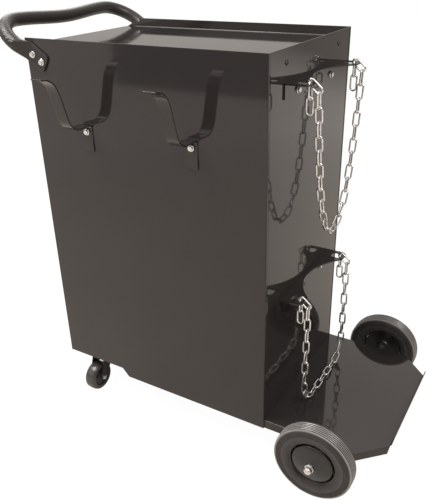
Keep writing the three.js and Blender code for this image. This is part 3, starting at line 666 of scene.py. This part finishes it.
SLOPE = math.radians(32)
TUBE = 30
FLAT_WIDTH = 40
FLAT_THICKNESS = 4
REACH = 117
BEND = 70
BOW = 11
BOLT_SPACING = 27.5
END_MARGIN = 12
END_ROUND = 9
FLAT_RUN = 11
SWELL_RUN = 30
FLAT_SQUARENESS = 0.28
TUBE_SIDES = 32
HANDLE_BOLT = (22, 874)
HANDLE_HALF = HALF_WIDTH + SEAT + TUBE / 2
FLAT_HALF = HALF_WIDTH + SEAT + FLAT_THICKNESS / 2
CROSS_HALF = HANDLE_HALF - BEND


def eased(share):
    return share * share * (3 - 2 * share)


def handle_ring(along, across, heading, swell, trim=0):
    """One section of the tube: flat and squared at the ends, round beyond the swell."""
    tall = mix(FLAT_WIDTH, TUBE, swell) / 2 - trim
    thick = mix(FLAT_THICKNESS, TUBE, swell) / 2
    square = mix(FLAT_SQUARENESS, 1, swell)
    ring = []
    for step in range(TUBE_SIDES):
        turn = FULL_TURN * (step + 0.5) / TUBE_SIDES
        up = tall * math.copysign(abs(math.cos(turn)) ** square, math.cos(turn))
        out = thick * math.copysign(abs(math.sin(turn)) ** square, math.sin(turn))
        slide = along + math.sin(heading) * out
        ring.append((
            on_length(HANDLE_BOLT[0]) - math.cos(SLOPE) * slide + math.sin(SLOPE) * up,
            across + math.cos(heading) * out,
            HANDLE_BOLT[1] + math.sin(SLOPE) * slide + math.cos(SLOPE) * up))
    return ring


def handle_black():
    """The coat on the handle: duller on the bar, crinkled where the tube is pressed and bent."""
    coat = material("handle_black_coat")
    place = coat.place((on_length(HANDLE_BOLT[0]), 0, HANDLE_BOLT[1]))
    back = coat.along(place, "X")
    outer = coat.between(coat.size_of(coat.along(place, "Y")), 0, 1, 0.215, 0.24)
    patch = coat.between(coat.noise(place, 30, 2), 0, 1, 0.42, 0.55)
    pressed = coat.between(back, 1, 0, -0.024, -0.012) * outer * patch
    folds = coat.size_of(coat.noise(place, 130, 1, 0.5) - 0.5)
    coat.shader(
        Base_Color=coat.tones(coat.noise(place, 6, 3), (0.3, (0.027, 0.024, 0.0228)),
                              (0.7, (0.034, 0.03, 0.0284))),
        Roughness=coat.between(pressed, 0.36, 0.1),
        Normal=coat.bump(folds * pressed * 7 + coat.noise(place, 420, 1) * 0.08, 1, 1.2),
        IOR=1.5,
        Specular_Tint=WARM)
    return coat.owner


def push_handle():
    """A tube bent round the back, its ends pressed flat against the panels."""
    end = -BOLT_SPACING - END_MARGIN
    rings = []
    for step in range(7):
        run = END_ROUND * step / 6
        trim = END_ROUND - math.sqrt(END_ROUND ** 2 - (END_ROUND - run) ** 2)
        rings.append(handle_ring(end + run, FLAT_HALF, 0, 0, trim * 0.75))
    rings.append(handle_ring(FLAT_RUN, FLAT_HALF, 0, 0))
    for step in range(1, 11):
        swell = eased(step / 10)
        across = mix(FLAT_HALF, HANDLE_HALF, swell)
        rings.append(handle_ring(FLAT_RUN + SWELL_RUN * step / 10, across, 0, swell))
    for step in range(15):
        turn = math.pi / 2 * step / 14
        rings.append(handle_ring(
            REACH - BEND + BEND * math.sin(turn), CROSS_HALF + BEND * math.cos(turn), turn, 1))
    for step in range(1, 17):
        across = CROSS_HALF * (1 - step / 16)
        wave = math.pi * across / CROSS_HALF
        lean = math.atan(BOW * math.pi * math.sin(wave) / (2 * CROSS_HALF))
        rings.append(handle_ring(REACH - BOW * (1 + math.cos(wave)) / 2, across, math.pi / 2 + lean, 1))
    far = [[(x, -y, z) for x, y, z in ring] for ring in reversed(rings[:-1])]
    handle = swept("push_handle_tube", rings + far)
    soften(handle, 0.8, 60)
    fit(handle, handle_black(), "frame", "push_handle")


# Bolts and screws

HEAD_ROUND = 7.3
HEAD_HEX = 5.7
BOLT_RADIUS = 4
NUT_HEX = 7
SCREW_HEAD = 2.9
RECESS = (4.8, 0.9, 2.6)


def hexagon(name, radius, low, high, crown):
    """A six-sided block with its crown corners broken."""
    deselect()
    bpy.ops.mesh.primitive_cylinder_add(vertices=6, radius=radius * MM, depth=(high - low) * MM,
                                        location=(0, 0, (high + low) / 2 * MM))
    head = added(name)
    bpy.ops.object.transform_apply(location=True)
    edit(head)
    pick("FACE", lambda face: face.normal.z * crown > 0.9)
    bpy.ops.mesh.inset(thickness=0.9 * MM, depth=0.45 * MM)
    leave_edit()
    soften(head, 0.25)
    return head


def bolt(name, grip):
    """A flanged hexagon head on its seat, the shank through the grip, and the nut behind."""
    nut = -grip - SEAT
    body = turned(name, [
        (0, SEAT + 1.4), (5.8, SEAT + 1.4), (6.7, SEAT + 1.2), (7.2, SEAT + 0.7), (HEAD_ROUND, SEAT + 0.3),
        (7.2, SEAT), (BOLT_RADIUS, SEAT), (BOLT_RADIUS, nut - 7.2), (BOLT_RADIUS - 0.7, nut - 8),
        (0, nut - 8)], 32)
    head = hexagon("bolt_head", HEAD_HEX, SEAT + 1.2, SEAT + 4.6, 1)
    nut_block = hexagon("bolt_nut", NUT_HEX, nut - 6, nut, -1)
    return joined([body, head, nut_block], name)


def bolts():
    handle_face = FLAT_HALF + FLAT_THICKNESS / 2
    hook_face = HALF_WIDTH + SEAT + HOOK_THICKNESS
    bracket_face = FRONT + SEAT + PLATE
    for kind, places, face, thickness in (
            ("handle_bolt", SIDE_PLACES, handle_face, FLAT_THICKNESS),
            ("hook_bolt", SIDE_PLACES, hook_face, HOOK_THICKNESS),
            ("bracket_bolt", FRONT_PLACES, bracket_face, PLATE)):
        pattern = bolt("bolt_pattern", SHEET + SEAT + thickness)
        for spin, place in enumerate(places):
            node = f"{place}_{kind}"
            middle = node_middle(node)
            if kind == "bracket_bolt":
                seat, outward = (face, middle.y, middle.z), (1, 0, 0)
            else:
                side = math.copysign(1, middle.y)
                seat, outward = (middle.x, side * face, middle.z), (0, side, 0)
            turn = Matrix.Rotation(0.4 + 0.7 * spin, 4, "Z")
            fit(copied(pattern, f"{node}_zinc", facing(outward, seat) @ turn), ZINC, "frame", node)
        discard(pattern)


def tray_screws():
    """Low round heads with a cross recess, through the front panel into the tray's flange."""
    screw = turned("screw_pattern", [
        (0, SCREW_HEAD), (1.6, 2.85), (3.2, 2.4), (4.4, 1.5), (5, 0.5), (4.9, SEAT), (2.5, SEAT), (2.5, -6.2),
        (1.6, -7.3), (0, -7.3)], 32)
    for turn in (0, math.pi / 2):
        cutter = block("recess_cutter", RECESS)
        combine(screw, moved(cutter, at(0, 0, SCREW_HEAD) @ Matrix.Rotation(turn + 0.5, 4, "Z")))
    for node in TRAY_SCREWS:
        middle = node_middle(node)
        place = facing((1, 0, 0), (FRONT, middle.y, middle.z))
        fit(copied(screw, f"{node}_dark", place), SCREW, "frame", node)
    discard(screw)


# Cable hooks

HOOK_PATH = [
    (0, -58), (0, -5), (5, 0), (40, 0), (52, 6), (62, 18), (68, 36),
    (75, 61), (83, 86), (91, 100), (105, 111), (124, 115),
]
HOOK_THICKNESS = 3
HOOK_SEAT = 738


def curve_through(points, steps):
    """A smooth run of points through the given ones, without overshooting at tight corners."""
    marks = [Vector(point) for point in points]
    marks = [2 * marks[0] - marks[1], *marks, 2 * marks[-1] - marks[-2]]
    run = []
    for a, b, c, d in zip(marks, marks[1:], marks[2:], marks[3:]):
        t1 = (b - a).length ** 0.5
        t2 = t1 + (c - b).length ** 0.5
        t3 = t2 + (d - c).length ** 0.5
        for step in range(steps):
            t = mix(t1, t2, step / steps)
            first = a.lerp(b, t / t1)
            second = b.lerp(c, (t - t1) / (t2 - t1))
            third = c.lerp(d, (t - t2) / (t3 - t2))
            outer = first.lerp(second, t / t2)
            inner = second.lerp(third, (t - t1) / (t3 - t1))
            run.append(outer.lerp(inner, (t - t1) / (t2 - t1)))
    return [*run, marks[-2]]


def strap_outline(path, thickness):
    upper = []
    lower = []
    for index, point in enumerate(path):
        heading = (path[min(index + 1, len(path) - 1)] - path[max(index - 1, 0)]).normalized()
        across = Vector((-heading.y, heading.x)) * thickness / 2
        upper.append(point + across)
        lower.append(point - across)
    return upper + lower[::-1]


def cable_hooks():
    """Strap bent out from the panel, along, up and over into a hook."""
    low, high = node_box("left_rear_cable_hook")
    centre = HALF_WIDTH + SEAT + HOOK_THICKNESS / 2
    drop = HOOK_SEAT - HOOK_THICKNESS / 2
    outline = strap_outline(curve_through(HOOK_PATH, 5), HOOK_THICKNESS)
    strap = slab("hook_pattern", [(point.x, point.y, 0) for point in outline], high.x - low.x)
    moved(strap, at(low.x, centre, drop) @ ON_EDGE)
    for end in ("rear", "front"):
        start = node_box(f"left_{end}_cable_hook")[0].x
        left = copied(strap, f"left_{end}_hook_strap", at(start - low.x, 0, 0))
        both_sides(left, COAT, "frame", f"{{}}_{end}_cable_hook", soft=0.6)
    discard(strap)


# Bottle brackets

PLATE = 3
BRACKET_REACH = 52
THROAT = 9
BOTTLE_RADIUS = 145
BRACKET_CORNER = 16
BRACKET_FLANGE = 30
SLOT_INSET = 22
SLOT_LENGTH = 26
SLOT_DEPTH = 24
SLOT_CORNER = 7
SLOT_TIP = 7
BRACKET_FACE = FRONT + SEAT
BRACKET_BACK = SEAT - 0.05
BRACKET_HALF = node_box("upper_bottle_bracket")[1].y
SLOT_HALF = BRACKET_HALF - SLOT_INSET
SLOT_EDGE = BRACKET_FACE + BRACKET_REACH - SLOT_TIP
SLOT_MIDDLE = SLOT_EDGE - SLOT_DEPTH / 2
LEVELS = {level: node_box(f"{level}_bottle_bracket")[1].z for level in ("upper", "lower")}


def bracket_outline():
    """Square against the panel, hollowed for a bottle, with rounded prong tips."""
    centre = THROAT + BOTTLE_RADIUS
    sweep = math.acos((centre - BRACKET_REACH) / BOTTLE_RADIUS)
    corner = BRACKET_HALF - BRACKET_CORNER
    inset = BRACKET_REACH - BRACKET_CORNER
    back = [(-BRACKET_BACK, BRACKET_HALF), (-BRACKET_BACK, -BRACKET_HALF)]
    tip = arc((inset, corner), BRACKET_CORNER, math.pi / 2, 0, 10)
    other_tip = [(out, -y) for out, y in tip]
    hollow = arc((centre, 0), BOTTLE_RADIUS, math.pi + sweep, math.pi - sweep, 48)
    return [(BRACKET_FACE + out, y) for out, y in back + other_tip + hollow + tip[::-1]]


def slot_outline(middle):
    """A rounded rectangle across the prong."""
    points = []
    for quarter, (out, end) in enumerate(((1, 1), (-1, 1), (-1, -1), (1, -1))):
        corner = (SLOT_MIDDLE + out * (SLOT_DEPTH / 2 - SLOT_CORNER),
                  middle + end * (SLOT_LENGTH / 2 - SLOT_CORNER))
        points += arc(corner, SLOT_CORNER, math.pi / 2 * quarter, math.pi / 2 * (quarter + 1), 8)
    return points


def bottle_brackets():
    """A folded plate: a bolted flange against the panel and two slotted prongs round the bottle."""
    top = LEVELS["upper"]
    pattern = outline_ring("bracket_pattern", [(x, y, top) for x, y in bracket_outline()], "NGON")
    edit(pattern)
    fold(lambda place: near(place.x, BRACKET_FACE - BRACKET_BACK), (0, 0, -BRACKET_FLANGE))
    round_folds(lambda place: True, 0.5)
    thicken(pattern, PLATE)
    for side in (1, -1):
        points = [(x, y, top - 3 * PLATE) for x, y in slot_outline(side * SLOT_HALF)]
        combine(pattern, slab("slot_cutter", points, 6 * PLATE))
    soften(pattern, 0.4, 40)
    for level, height in LEVELS.items():
        bracket = copied(pattern, f"{level}_bracket_plate", at(0, 0, height - top))
        fit(bracket, COAT, "frame", f"{level}_bottle_bracket")
    discard(pattern)


# Chains

PITCH = 28.5
WIRE = 2
LINK_BEND = 6.5
LINK_ARC = (PITCH + 2 * WIRE) / 2 - LINK_BEND
LINKS = 25
ANCHOR_TILT = math.radians(40)
ANCHOR_FIT = 0.35
CHAIN_REST = 0.2
DOWN = Vector((0, 0, -1))
TO_FRONT = Vector((1, 0, 0))
TO_LEFT = Vector((0, 1, 0))

ANCHOR_AXIS = Vector((math.cos(ANCHOR_TILT), 0, -math.sin(ANCHOR_TILT)))
ANCHOR_WIDTH = Vector((math.sin(ANCHOR_TILT), 0, math.cos(ANCHOR_TILT)))
STRIP_LEAN = (SLOT_TIP * math.sin(ANCHOR_TILT) + PLATE * math.cos(ANCHOR_TILT)) / 2
ANCHOR_DROP = LINK_BEND - WIRE - STRIP_LEAN - ANCHOR_FIT
tail_past_corner = LINK_BEND + WIRE - (SLOT_LENGTH / 2 - SLOT_CORNER)
slot_fall = SLOT_CORNER - math.sqrt(SLOT_CORNER ** 2 - tail_past_corner ** 2)
TAIL_X = SLOT_EDGE - slot_fall - WIRE - ANCHOR_FIT
STRIP_X = SLOT_EDGE + SLOT_TIP / 2
TAIL_BACK = LINK_ARC + LINK_BEND - 2 * WIRE
ANCHOR_SLIP = (TAIL_X - STRIP_X + ANCHOR_DROP * ANCHOR_WIDTH.x) / ANCHOR_AXIS.x + TAIL_BACK


def link_pattern():
    """Half a wire ring drawn out to the middle of the link and mirrored."""
    deselect()
    bpy.ops.mesh.primitive_torus_add(major_radius=LINK_BEND * MM, minor_radius=WIRE * MM,
                                     major_segments=28, minor_segments=12)
    link = added("link_pattern")
    edit(link)
    pick_all()
    bpy.ops.mesh.bisect(plane_co=(0, 0, 0), plane_no=(1, 0, 0), clear_inner=True)
    pick_all()
    shift((LINK_ARC, 0, 0))
    pick("EDGE", lambda edge: edge.is_boundary)
    bpy.ops.mesh.extrude_edges_move(TRANSFORM_OT_translate={"value": (-LINK_ARC * MM, 0, 0)})
    leave_edit()
    modify(link, "MIRROR", use_clip=True, merge_threshold=1e-5)
    clean(link)
    smooth(link, 80)
    return link


def link_place(middle, axis, width):
    turn = Matrix((axis, width, axis.cross(width))).transposed().to_4x4()
    return at(*middle) @ turn


def anchor_middle(top, y):
    strip = Vector((STRIP_X, y, top - PLATE / 2))
    return strip + ANCHOR_AXIS * ANCHOR_SLIP - ANCHOR_WIDTH * ANCHOR_DROP


def anchor_places(top, y):
    """The link round the prong's tip, and two links hanging down through the slot."""
    middle = anchor_middle(top, y)
    first = middle - ANCHOR_AXIS * TAIL_BACK + DOWN * (LINK_ARC + LINK_BEND)
    second = first + DOWN * PITCH
    return [link_place(middle, ANCHOR_AXIS, ANCHOR_WIDTH), link_place(first, DOWN, TO_LEFT),
            link_place(second, DOWN, TO_FRONT)]


def span_hold(top):
    """Lowest point of the anchor's wire, where the span takes hold."""
    return anchor_middle(top, 0) + ANCHOR_AXIS * LINK_ARC + DOWN * LINK_BEND


def halved(low, high, too_small):
    """The value at which a test turns false, closed in on from both sides."""
    for _ in range(50):
        middle = (low + high) / 2
        if too_small(middle):
            low = middle
        else:
            high = middle
    return (low + high) / 2


def walk(path):
    """Joints of half a span, stepped out from the middle of its lowest link."""
    joints = []
    run = 0
    here = path(0)
    step = PITCH / 2
    for _ in range((LINKS + 1) // 2):
        run = halved(run, run + 2 * PITCH, lambda way: (path(way) - here).length < step)
        here = path(run)
        step = PITCH
        joints.append(here)
    return joints


def hanging(slack):
    return lambda run: Vector((slack * math.asinh(run / slack), math.hypot(slack, run) - slack))


def lying(radius):
    flat = SLOT_HALF - radius

    def path(run):
        turn = (run - flat) / radius
        if turn < 0:
            return Vector((run, 0))
        if turn > math.pi / 2:
            return Vector((SLOT_HALF, radius + (turn - math.pi / 2) * radius))
        return Vector((flat + radius * math.sin(turn), radius - radius * math.cos(turn)))

    return path


def span_places(joints, top):
    hold = span_hold(top)
    lowest = hold.z + WIRE - joints[-1].y
    right = [Vector((hold.x, -joint.x, lowest + joint.y)) for joint in reversed(joints)]
    left = [Vector((hold.x, joint.x, lowest + joint.y)) for joint in joints]
    ends = right + left
    places = []
    for index, (a, b) in enumerate(zip(ends, ends[1:])):
        axis = (b - a).normalized()
        width = TO_FRONT if index % 2 else axis.cross(TO_FRONT).normalized()
        places.append(link_place((a + b) / 2, axis, width))
    return places


def chains():
    pattern = link_pattern()

    def run_of_links(name, places, body, node):
        links = [copied(pattern, f"{name}_link", place) for place in places]
        chain = joined(links, name)
        fit(chain, ZINC, body, node)

    slack = halved(LINK_BEND, SLOT_HALF, lambda size: walk(hanging(size))[-1].x < SLOT_HALF)
    floor = PLATE_TOP + CHAIN_REST + LINK_BEND + WIRE
    drop = span_hold(LEVELS["lower"]).z + WIRE - floor
    radius = halved(LINK_BEND, SLOT_HALF, lambda size: walk(lying(size))[-1].y < drop)
    joints = {"upper": walk(hanging(slack)), "lower": walk(lying(radius))}
    for level, top in LEVELS.items():
        run_of_links(f"{level}_chain_links", span_places(joints[level], top), f"{level}_chain_span",
                     f"{level}_chain")
        for side, sign in (("left", 1), ("right", -1)):
            run_of_links(f"{level}_{side}_anchor_links", anchor_places(top, sign * SLOT_HALF), "frame",
                         f"{level}_{side}_chain_anchor")
    discard(pattern)


# Wheels

tyre_low, tyre_high = node_box("left_wheel_tyre")
WHEEL = (tyre_low + tyre_high) / 2
WHEEL_RADIUS = (tyre_high.z - tyre_low.z) / 2
AXLE_RADIUS = 6.5
RIB_PITCH = 4.75
TREAD_HALF = 14.3
WALL_GLOSS = 0.4
ON_AXLE = at(*WHEEL) @ Matrix.Rotation(-math.pi / 2, 4, "X")


def mould_groove(radius, along):
    """A fine ring sunk in a sidewall."""
    return [(radius, along), (radius + 0.3, along - 0.8), (radius + 1.0, along - 0.8), (radius + 1.3, along)]


def tyre_profile():
    """Right round the section: bead, sidewall with mould lines, shoulder, ribbed tread, and back."""
    wall = [(47.2, 6), (47.8, 9), (49.2, 11.6), (51.5, 13.8), (54.5, 15.5), (58, 16.7), (62, 17.4), (66, 17.5),
            (69, 17.4)]
    for radius, along in ((71.4, 17.3), (74.4, 17.1), (77.4, 16.7), (80.4, 16.1)):
        wall += mould_groove(radius, along)
    wall += [(83.2, 15.3), (84.7, 14.5), (85.5, 14.1), (86.2, 14.4), (87.1, 14.2), (87.7, 13.6), (87.8, 12.9)]
    crown = []
    for rib in range(-2, 3):
        flank = [(1.8, 2.3), (1.25, 1.75), (0.45, 0.95), (0, 0)]
        crown += [(WHEEL_RADIUS - dip, rib * RIB_PITCH - out) for dip, out in flank]
        crown += [(WHEEL_RADIUS - dip, rib * RIB_PITCH + out) for dip, out in flank[-2::-1]]
    return both_ways(wall, crown)


HUB_PROFILE = [
    (6.9, -26), (15, -26), (16, -25), (16, -7), (17.5, -5.2), (20, -4.6), (40, -4.4), (45, -5.4), (46.4, -7),
    (46.6, -7.6), (46.6, 11), (46.2, 12.4), (45.4, 13.4), (44, 14.2), (40, 15.8), (33, 18), (26, 20.2),
    (19, 22.2), (12.5, 23.8), (10.8, 24.4), (10.3, 25.6), (9.4, 26), (6.9, 26),
]


def wheel_pair(tyre, hub, body, node, rubber, *looks):
    """Copy a left-hand tyre and hub to the right, each tyre with a finish set round its own middle."""
    right = [copied(piece, piece.name.replace("left", "right"), ACROSS) for piece in (tyre, hub)]
    for side, (tread, disc) in (("left", (tyre, hub)), ("right", right)):
        finish = tyre_rubber(f"{side}_{rubber}", node_middle(f"{side}_{node}_tyre"), *looks)
        fit(tread, finish, f"{side}_{body}", f"{side}_{node}_tyre")
        fit(disc, HUB, f"{side}_{body}", f"{side}_{node}_hub")


def wheels():
    tyre = turned("left_tyre", tyre_profile(), 128, ON_AXLE)
    hub = turned("left_hub_disc", HUB_PROFILE, 96, ON_AXLE)
    wheel_pair(tyre, hub, "wheel", "wheel", "tyre_rubber", "Y", TREAD_HALF, WALL_GLOSS, RIB_PITCH)


def axle_pieces():
    """The rod with chamfered ends, spacers, washers and nuts."""
    half = node_box("axle")[1].y
    rod = turned("axle_rod", both_ways([(0, half), (5.2, half), (AXLE_RADIUS, half - 1.3)]), 40,
                 at(WHEEL.x, 0, WHEEL.z) @ Matrix.Rotation(-math.pi / 2, 4, "X"))
    fit(rod, ZINC, "frame", "axle")
    bore = AXLE_RADIUS + SEAT
    for kind, outer in (("spacer", 11), ("washer", 10)):
        near_end, far_end = (value.y - WHEEL.y for value in node_box(f"left_axle_{kind}"))
        ring = turned(f"left_axle_{kind}_ring", [
            (bore, near_end), (outer - 0.4, near_end), (outer, near_end + 0.4), (outer, far_end - 0.4),
            (outer - 0.4, far_end), (bore, far_end)], 48, ON_AXLE)
        both_sides(ring, ZINC, "frame", f"{{}}_axle_{kind}")
    near_end, far_end = (value.y - WHEEL.y for value in node_box("left_axle_nut"))
    nut = turned("left_axle_nut_hex", [
        (bore, near_end), (8.8, near_end), (8.8, far_end - 2.2), (8.3, far_end - 1), (7.6, far_end - 0.3),
        (bore, far_end)], 6)
    alone(nut)
    bpy.ops.object.shade_flat()
    soften(nut, 0.4, 25)
    moved(nut, ON_AXLE)
    both_sides(nut, ZINC, "frame", "{}_axle_nut")


# Casters

CASTER_WHEEL = node_middle("left_caster_tyre")
CASTER_PIVOT = node_middle("left_caster_plate")
CASTER_X = CASTER_WHEEL.x
CASTER_RADIUS = CASTER_WHEEL.z
ON_CASTER = at(*CASTER_WHEEL) @ Matrix.Rotation(math.pi / 2, 4, "Y")
CASTER_TREAD_HALF = 15
CASTER_GLOSS = 0.3
FORK_INNER = 17.1
FORK_PLATE = 3
FORK_CROWN = 20
FORK_SHOULDER = 4
FORK_EYE = 9
CASTER_HEX = 6.2
MOUNT_PLATE = 3
MOUNT_CORNER = 6


def caster_wheel():
    wall = [(25, 13), (25.6, 14.3), (27.5, 14.9), (30.5, 15), (33, 14.7), (34.9, 13.7), (36.3, 12), (37.2, 9.6),
            (37.7, 6.6), (37.95, 3.2)]
    tyre = turned("left_caster_tread", both_ways(wall, [(CASTER_RADIUS, 0)]), 80, ON_CASTER)
    face = [(4.4, 16.5), (8.6, 16.5), (9.4, 16), (10.2, 12.2), (11.4, 11.2), (20, 11), (21.6, 11.6),
            (22.6, 12.6), (24, 12.9), (24.5, 12.4)]
    hub = turned("left_caster_core", both_ways(face), 64, ON_CASTER)
    wheel_pair(tyre, hub, "caster_wheel", "caster", "caster_rubber", "X", CASTER_TREAD_HALF, CASTER_GLOSS)


def caster_fork():
    """A pressed fork: a crown folded down into two tapering legs with rounded eyes."""
    top = node_box("left_caster_fork")[1].z
    outer = FORK_INNER + FORK_PLATE
    trail = CASTER_WHEEL.y - CASTER_PIVOT.y
    shoulder = top - FORK_SHOULDER
    start = math.radians(30)
    points = [(-FORK_CROWN, top), (FORK_CROWN, top), (FORK_CROWN + 1.5, shoulder),
              *arc((trail, CASTER_RADIUS), FORK_EYE, start, start - math.pi, 16), (-FORK_CROWN, shoulder)]
    leg = slab("fork_leg", [(out, z, 0) for out, z in points], FORK_PLATE)
    crown = block("left_fork_pressing", (2 * FORK_INNER + 0.1, 2 * FORK_CROWN, FORK_PLATE),
                  (CASTER_X, CASTER_PIVOT.y, top - FORK_PLATE / 2))
    for side in (-outer, FORK_INNER):
        place = at(CASTER_X + side, CASTER_PIVOT.y, 0)
        combine(crown, copied(leg, "fork_leg_side", place @ ON_EDGE), "UNION")
    discard(leg)
    clean(crown)
    edit(crown)
    pick("EDGE", lambda edge: near(spot(edge).z, top) and near(abs(spot(edge).x - CASTER_X), outer))
    bpy.ops.mesh.bevel(offset=2.6 * MM, segments=4, affect="EDGES")
    leave_edit()
    both_sides(crown, STEEL, "{}_caster", "{}_caster_fork", soft=0.5)


def caster_plate():
    """The bolted top plate with its swivel race and king pin."""
    low, high = node_box("left_caster_plate")
    top = high.z - MOUNT_PLATE
    plate = block("left_caster_mount", (high.x - low.x, high.y - low.y, MOUNT_PLATE),
                  ((low.x + high.x) / 2, CASTER_PIVOT.y, (high.z + top) / 2))
    edit(plate)
    pick("EDGE", lambda edge: abs(edge.verts[0].co.z - edge.verts[1].co.z) > 1 * MM)
    bpy.ops.mesh.bevel(offset=MOUNT_CORNER * MM, segments=5, affect="EDGES")
    leave_edit()
    soften(plate, 0.4)
    race = turned("swivel_race", [
        (0, top), (22, top), (22, top - 2), (21.3, top - 3.4), (20.6, top - 4.4), (21.3, top - 5.4),
        (22, top - 6.6), (21.6, top - 8.4), (20.8, top - 9), (5, top - 9), (5, top - 12.6), (8, top - 12.6),
        (8, top - 14.2), (6.6, low.z), (0, low.z)], 48, at(CASTER_X, CASTER_PIVOT.y, 0))
    mount = joined([plate, race], "left_caster_mount")
    both_sides(mount, STEEL, "frame", "{}_caster_plate")


def caster_bolts():
    low, high = node_box("left_caster_bolt")
    half = (high.x - low.x) / 2
    seat = FORK_INNER + FORK_PLATE + SEAT
    shank = turned("caster_axle", both_ways([
        (0, half - 4.5), (5.5, half - 4.5), (6.4, seat + 0.8), (6.4, seat), (4, seat)])[::-1], 32)
    heads = [hexagon("caster_bolt_head", CASTER_HEX, seat + 0.4, half - 0.5, 1),
             hexagon("caster_bolt_nut", CASTER_HEX, 0.5 - half, -seat - 0.4, -1)]
    bolt_piece = joined([shank, *heads], "left_caster_axle_bolt")
    moved(bolt_piece, ON_CASTER)
    both_sides(bolt_piece, ZINC, "{}_caster", "{}_caster_bolt")


# Everything in its place

side_panels()
front_sheet()
top_tray()
inner_shelf()
platform()
push_handle()
bolts()
tray_screws()
cable_hooks()
bottle_brackets()
chains()
wheels()
axle_pieces()
caster_wheel()
caster_fork()
caster_plate()
caster_bolts()
for name in ("left_axle_hanger", "right_axle_hanger"):
    paint(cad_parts[name], COAT)

# Floor, light and camera


def sight(finish):
    """Rays straight from the camera, and rays that reach it mirrored or through glass."""
    paths = finish.tree.nodes.new("ShaderNodeLightPath").outputs
    straight, mirrored, through = (
        Wire(finish, paths[name]) for name in ("Is Camera Ray", "Is Glossy Ray", "Is Transmission Ray"))
    return straight, 1 - (1 - mirrored) * (1 - through)


WHITE = (1, 1, 1, 1)
MIRRORED_TINT = (1, 0.93, 0.86, 1)
FLOOR_TONE = (0.74, 0.667, 0.59, 1)
FLOOR_GLOW = 1.13
GLOW_SHARE = 0.86
SKY_LIGHT = 0.4
FLAG_TONE = (0.26, 0.25, 0.25, 1)
FLAG_PLACE = (185, -3500, 250)
FLAG_SIZE = (6.23, 0.5, 1, 1)


def floor():
    """A pale floor, glowing to white in the picture but keeping the object's shadow."""
    deselect()
    bpy.ops.mesh.primitive_plane_add(size=40)
    ground = added("studio_floor")
    pale = material("pale_floor")
    straight, mirrored = sight(pale)
    place = pale.place()
    # In mirrored rays the glow fades near the cart and towards the left rear: a painted shade round the cart
    # and behind it.
    reach = pale.node("ShaderNodeVectorMath", {"operation": "LENGTH"}, {0: place}, "Value")
    behind = pale.between(pale.along(place, "Y") - pale.along(place, "X"), 1, 0.1, 1.9, 3)
    lit = pale.node("ShaderNodeBsdfDiffuse", None, {"Color": FLOOR_TONE})
    glow = pale.node("ShaderNodeEmission", None, {
        "Color": pale.blend(mirrored, WHITE, MIRRORED_TINT), "Strength": FLOOR_GLOW})
    share = straight * GLOW_SHARE + mirrored * behind * pale.between(reach, 0.1, 0.8, 1.3, 2.8)
    shown = pale.node("ShaderNodeMixShader", None, {0: share, 1: lit, 2: glow})
    pale.shader("Material Output", Surface=shown)
    ground.data.materials.append(pale.owner)


def dark_flag():
    """A low board out of the picture, glowing dim grey and seen only in mirrored rays: a painted dark
    reflection band in the side panel.
    """
    deselect()
    bpy.ops.mesh.primitive_plane_add(size=1)
    board = added("dark_flag")
    board.data.transform(at(*FLAG_PLACE) @ Matrix.Rotation(math.pi / 2, 4, "X") @ Matrix.Diagonal(FLAG_SIZE))
    dark = material("dark_flag_cloth")
    dark.shader("Material Output", Surface=dark.node("ShaderNodeEmission", None, {"Color": FLAG_TONE}))
    board.data.materials.append(dark.owner)
    board.visible_camera = False
    board.visible_diffuse = False
    board.visible_shadow = False


def surroundings():
    """White to the camera, a little warmer where it is mirrored, and softer as light."""
    world = bpy.data.worlds.new("white_studio")
    bpy.context.scene.world = world
    air = Finish(world)
    straight, mirrored = sight(air)
    towards = air.node("ShaderNodeTexCoord", out="Generated")
    sky = air.between(air.along(towards, "Z"), 0.58, 1.15, 0.2, 0.55)
    sky = sky * air.between(air.along(towards, "X"), 1, 0.42, 0, 0.35)
    air.shader(
        "Background",
        Color=air.blend(mirrored, WHITE, MIRRORED_TINT),
        Strength=SKY_LIGHT + straight * (1 - SKY_LIGHT) + mirrored * (sky - SKY_LIGHT))


def softbox(name, place, aim, size, watts):
    light = bpy.data.lights.new(name, "AREA")
    light.shape = "RECTANGLE"
    light.size = light.size_y = size
    light.energy = watts
    lamp = bpy.data.objects.new(name, light)
    lamp.visible_camera = False
    bpy.context.collection.objects.link(lamp)
    lamp.location = place
    lamp.rotation_euler = (Vector(aim) - Vector(place)).to_track_quat("-Z", "Y").to_euler()


# Solved from the cabinet's edges in the photograph
CAMERA_PLACE = (679.4, -1174.0, 1072.1)
CAMERA_RIGHT = (0.85685845, 0.51497001, -0.02448423)
CAMERA_UP = (-0.20898338, 0.39035767, 0.89663082)
CAMERA_BACK = (0.47129559, -0.7631689, 0.44210145)
FOCAL_PIXELS = 616.65
LONG_SIDE = 500


def camera():
    lens = bpy.data.cameras.new("photo_camera")
    lens.sensor_width = 36
    lens.lens = FOCAL_PIXELS * lens.sensor_width / LONG_SIDE
    eye = bpy.data.objects.new("photo_camera", lens)
    bpy.context.collection.objects.link(eye)
    turn = Matrix((CAMERA_RIGHT, CAMERA_UP, CAMERA_BACK)).transposed().to_4x4()
    eye.matrix_world = at(*CAMERA_PLACE) @ turn
    bpy.context.scene.camera = eye


floor()
dark_flag()
surroundings()
softbox("key_softbox", (1.9, -0.9, 2.8), (0.1, 0, 0.4), 1.6, 40)
softbox("rear_softbox", (-2.2, 1.8, 2.4), (0, 0, 0.6), 1.6, 25)
softbox("top_softbox", (-1.2, -0.8, 2.6), (0, 0, 0.4), 1.4, 60)
camera()
bpy.context.scene.view_settings.view_transform = "Standard"
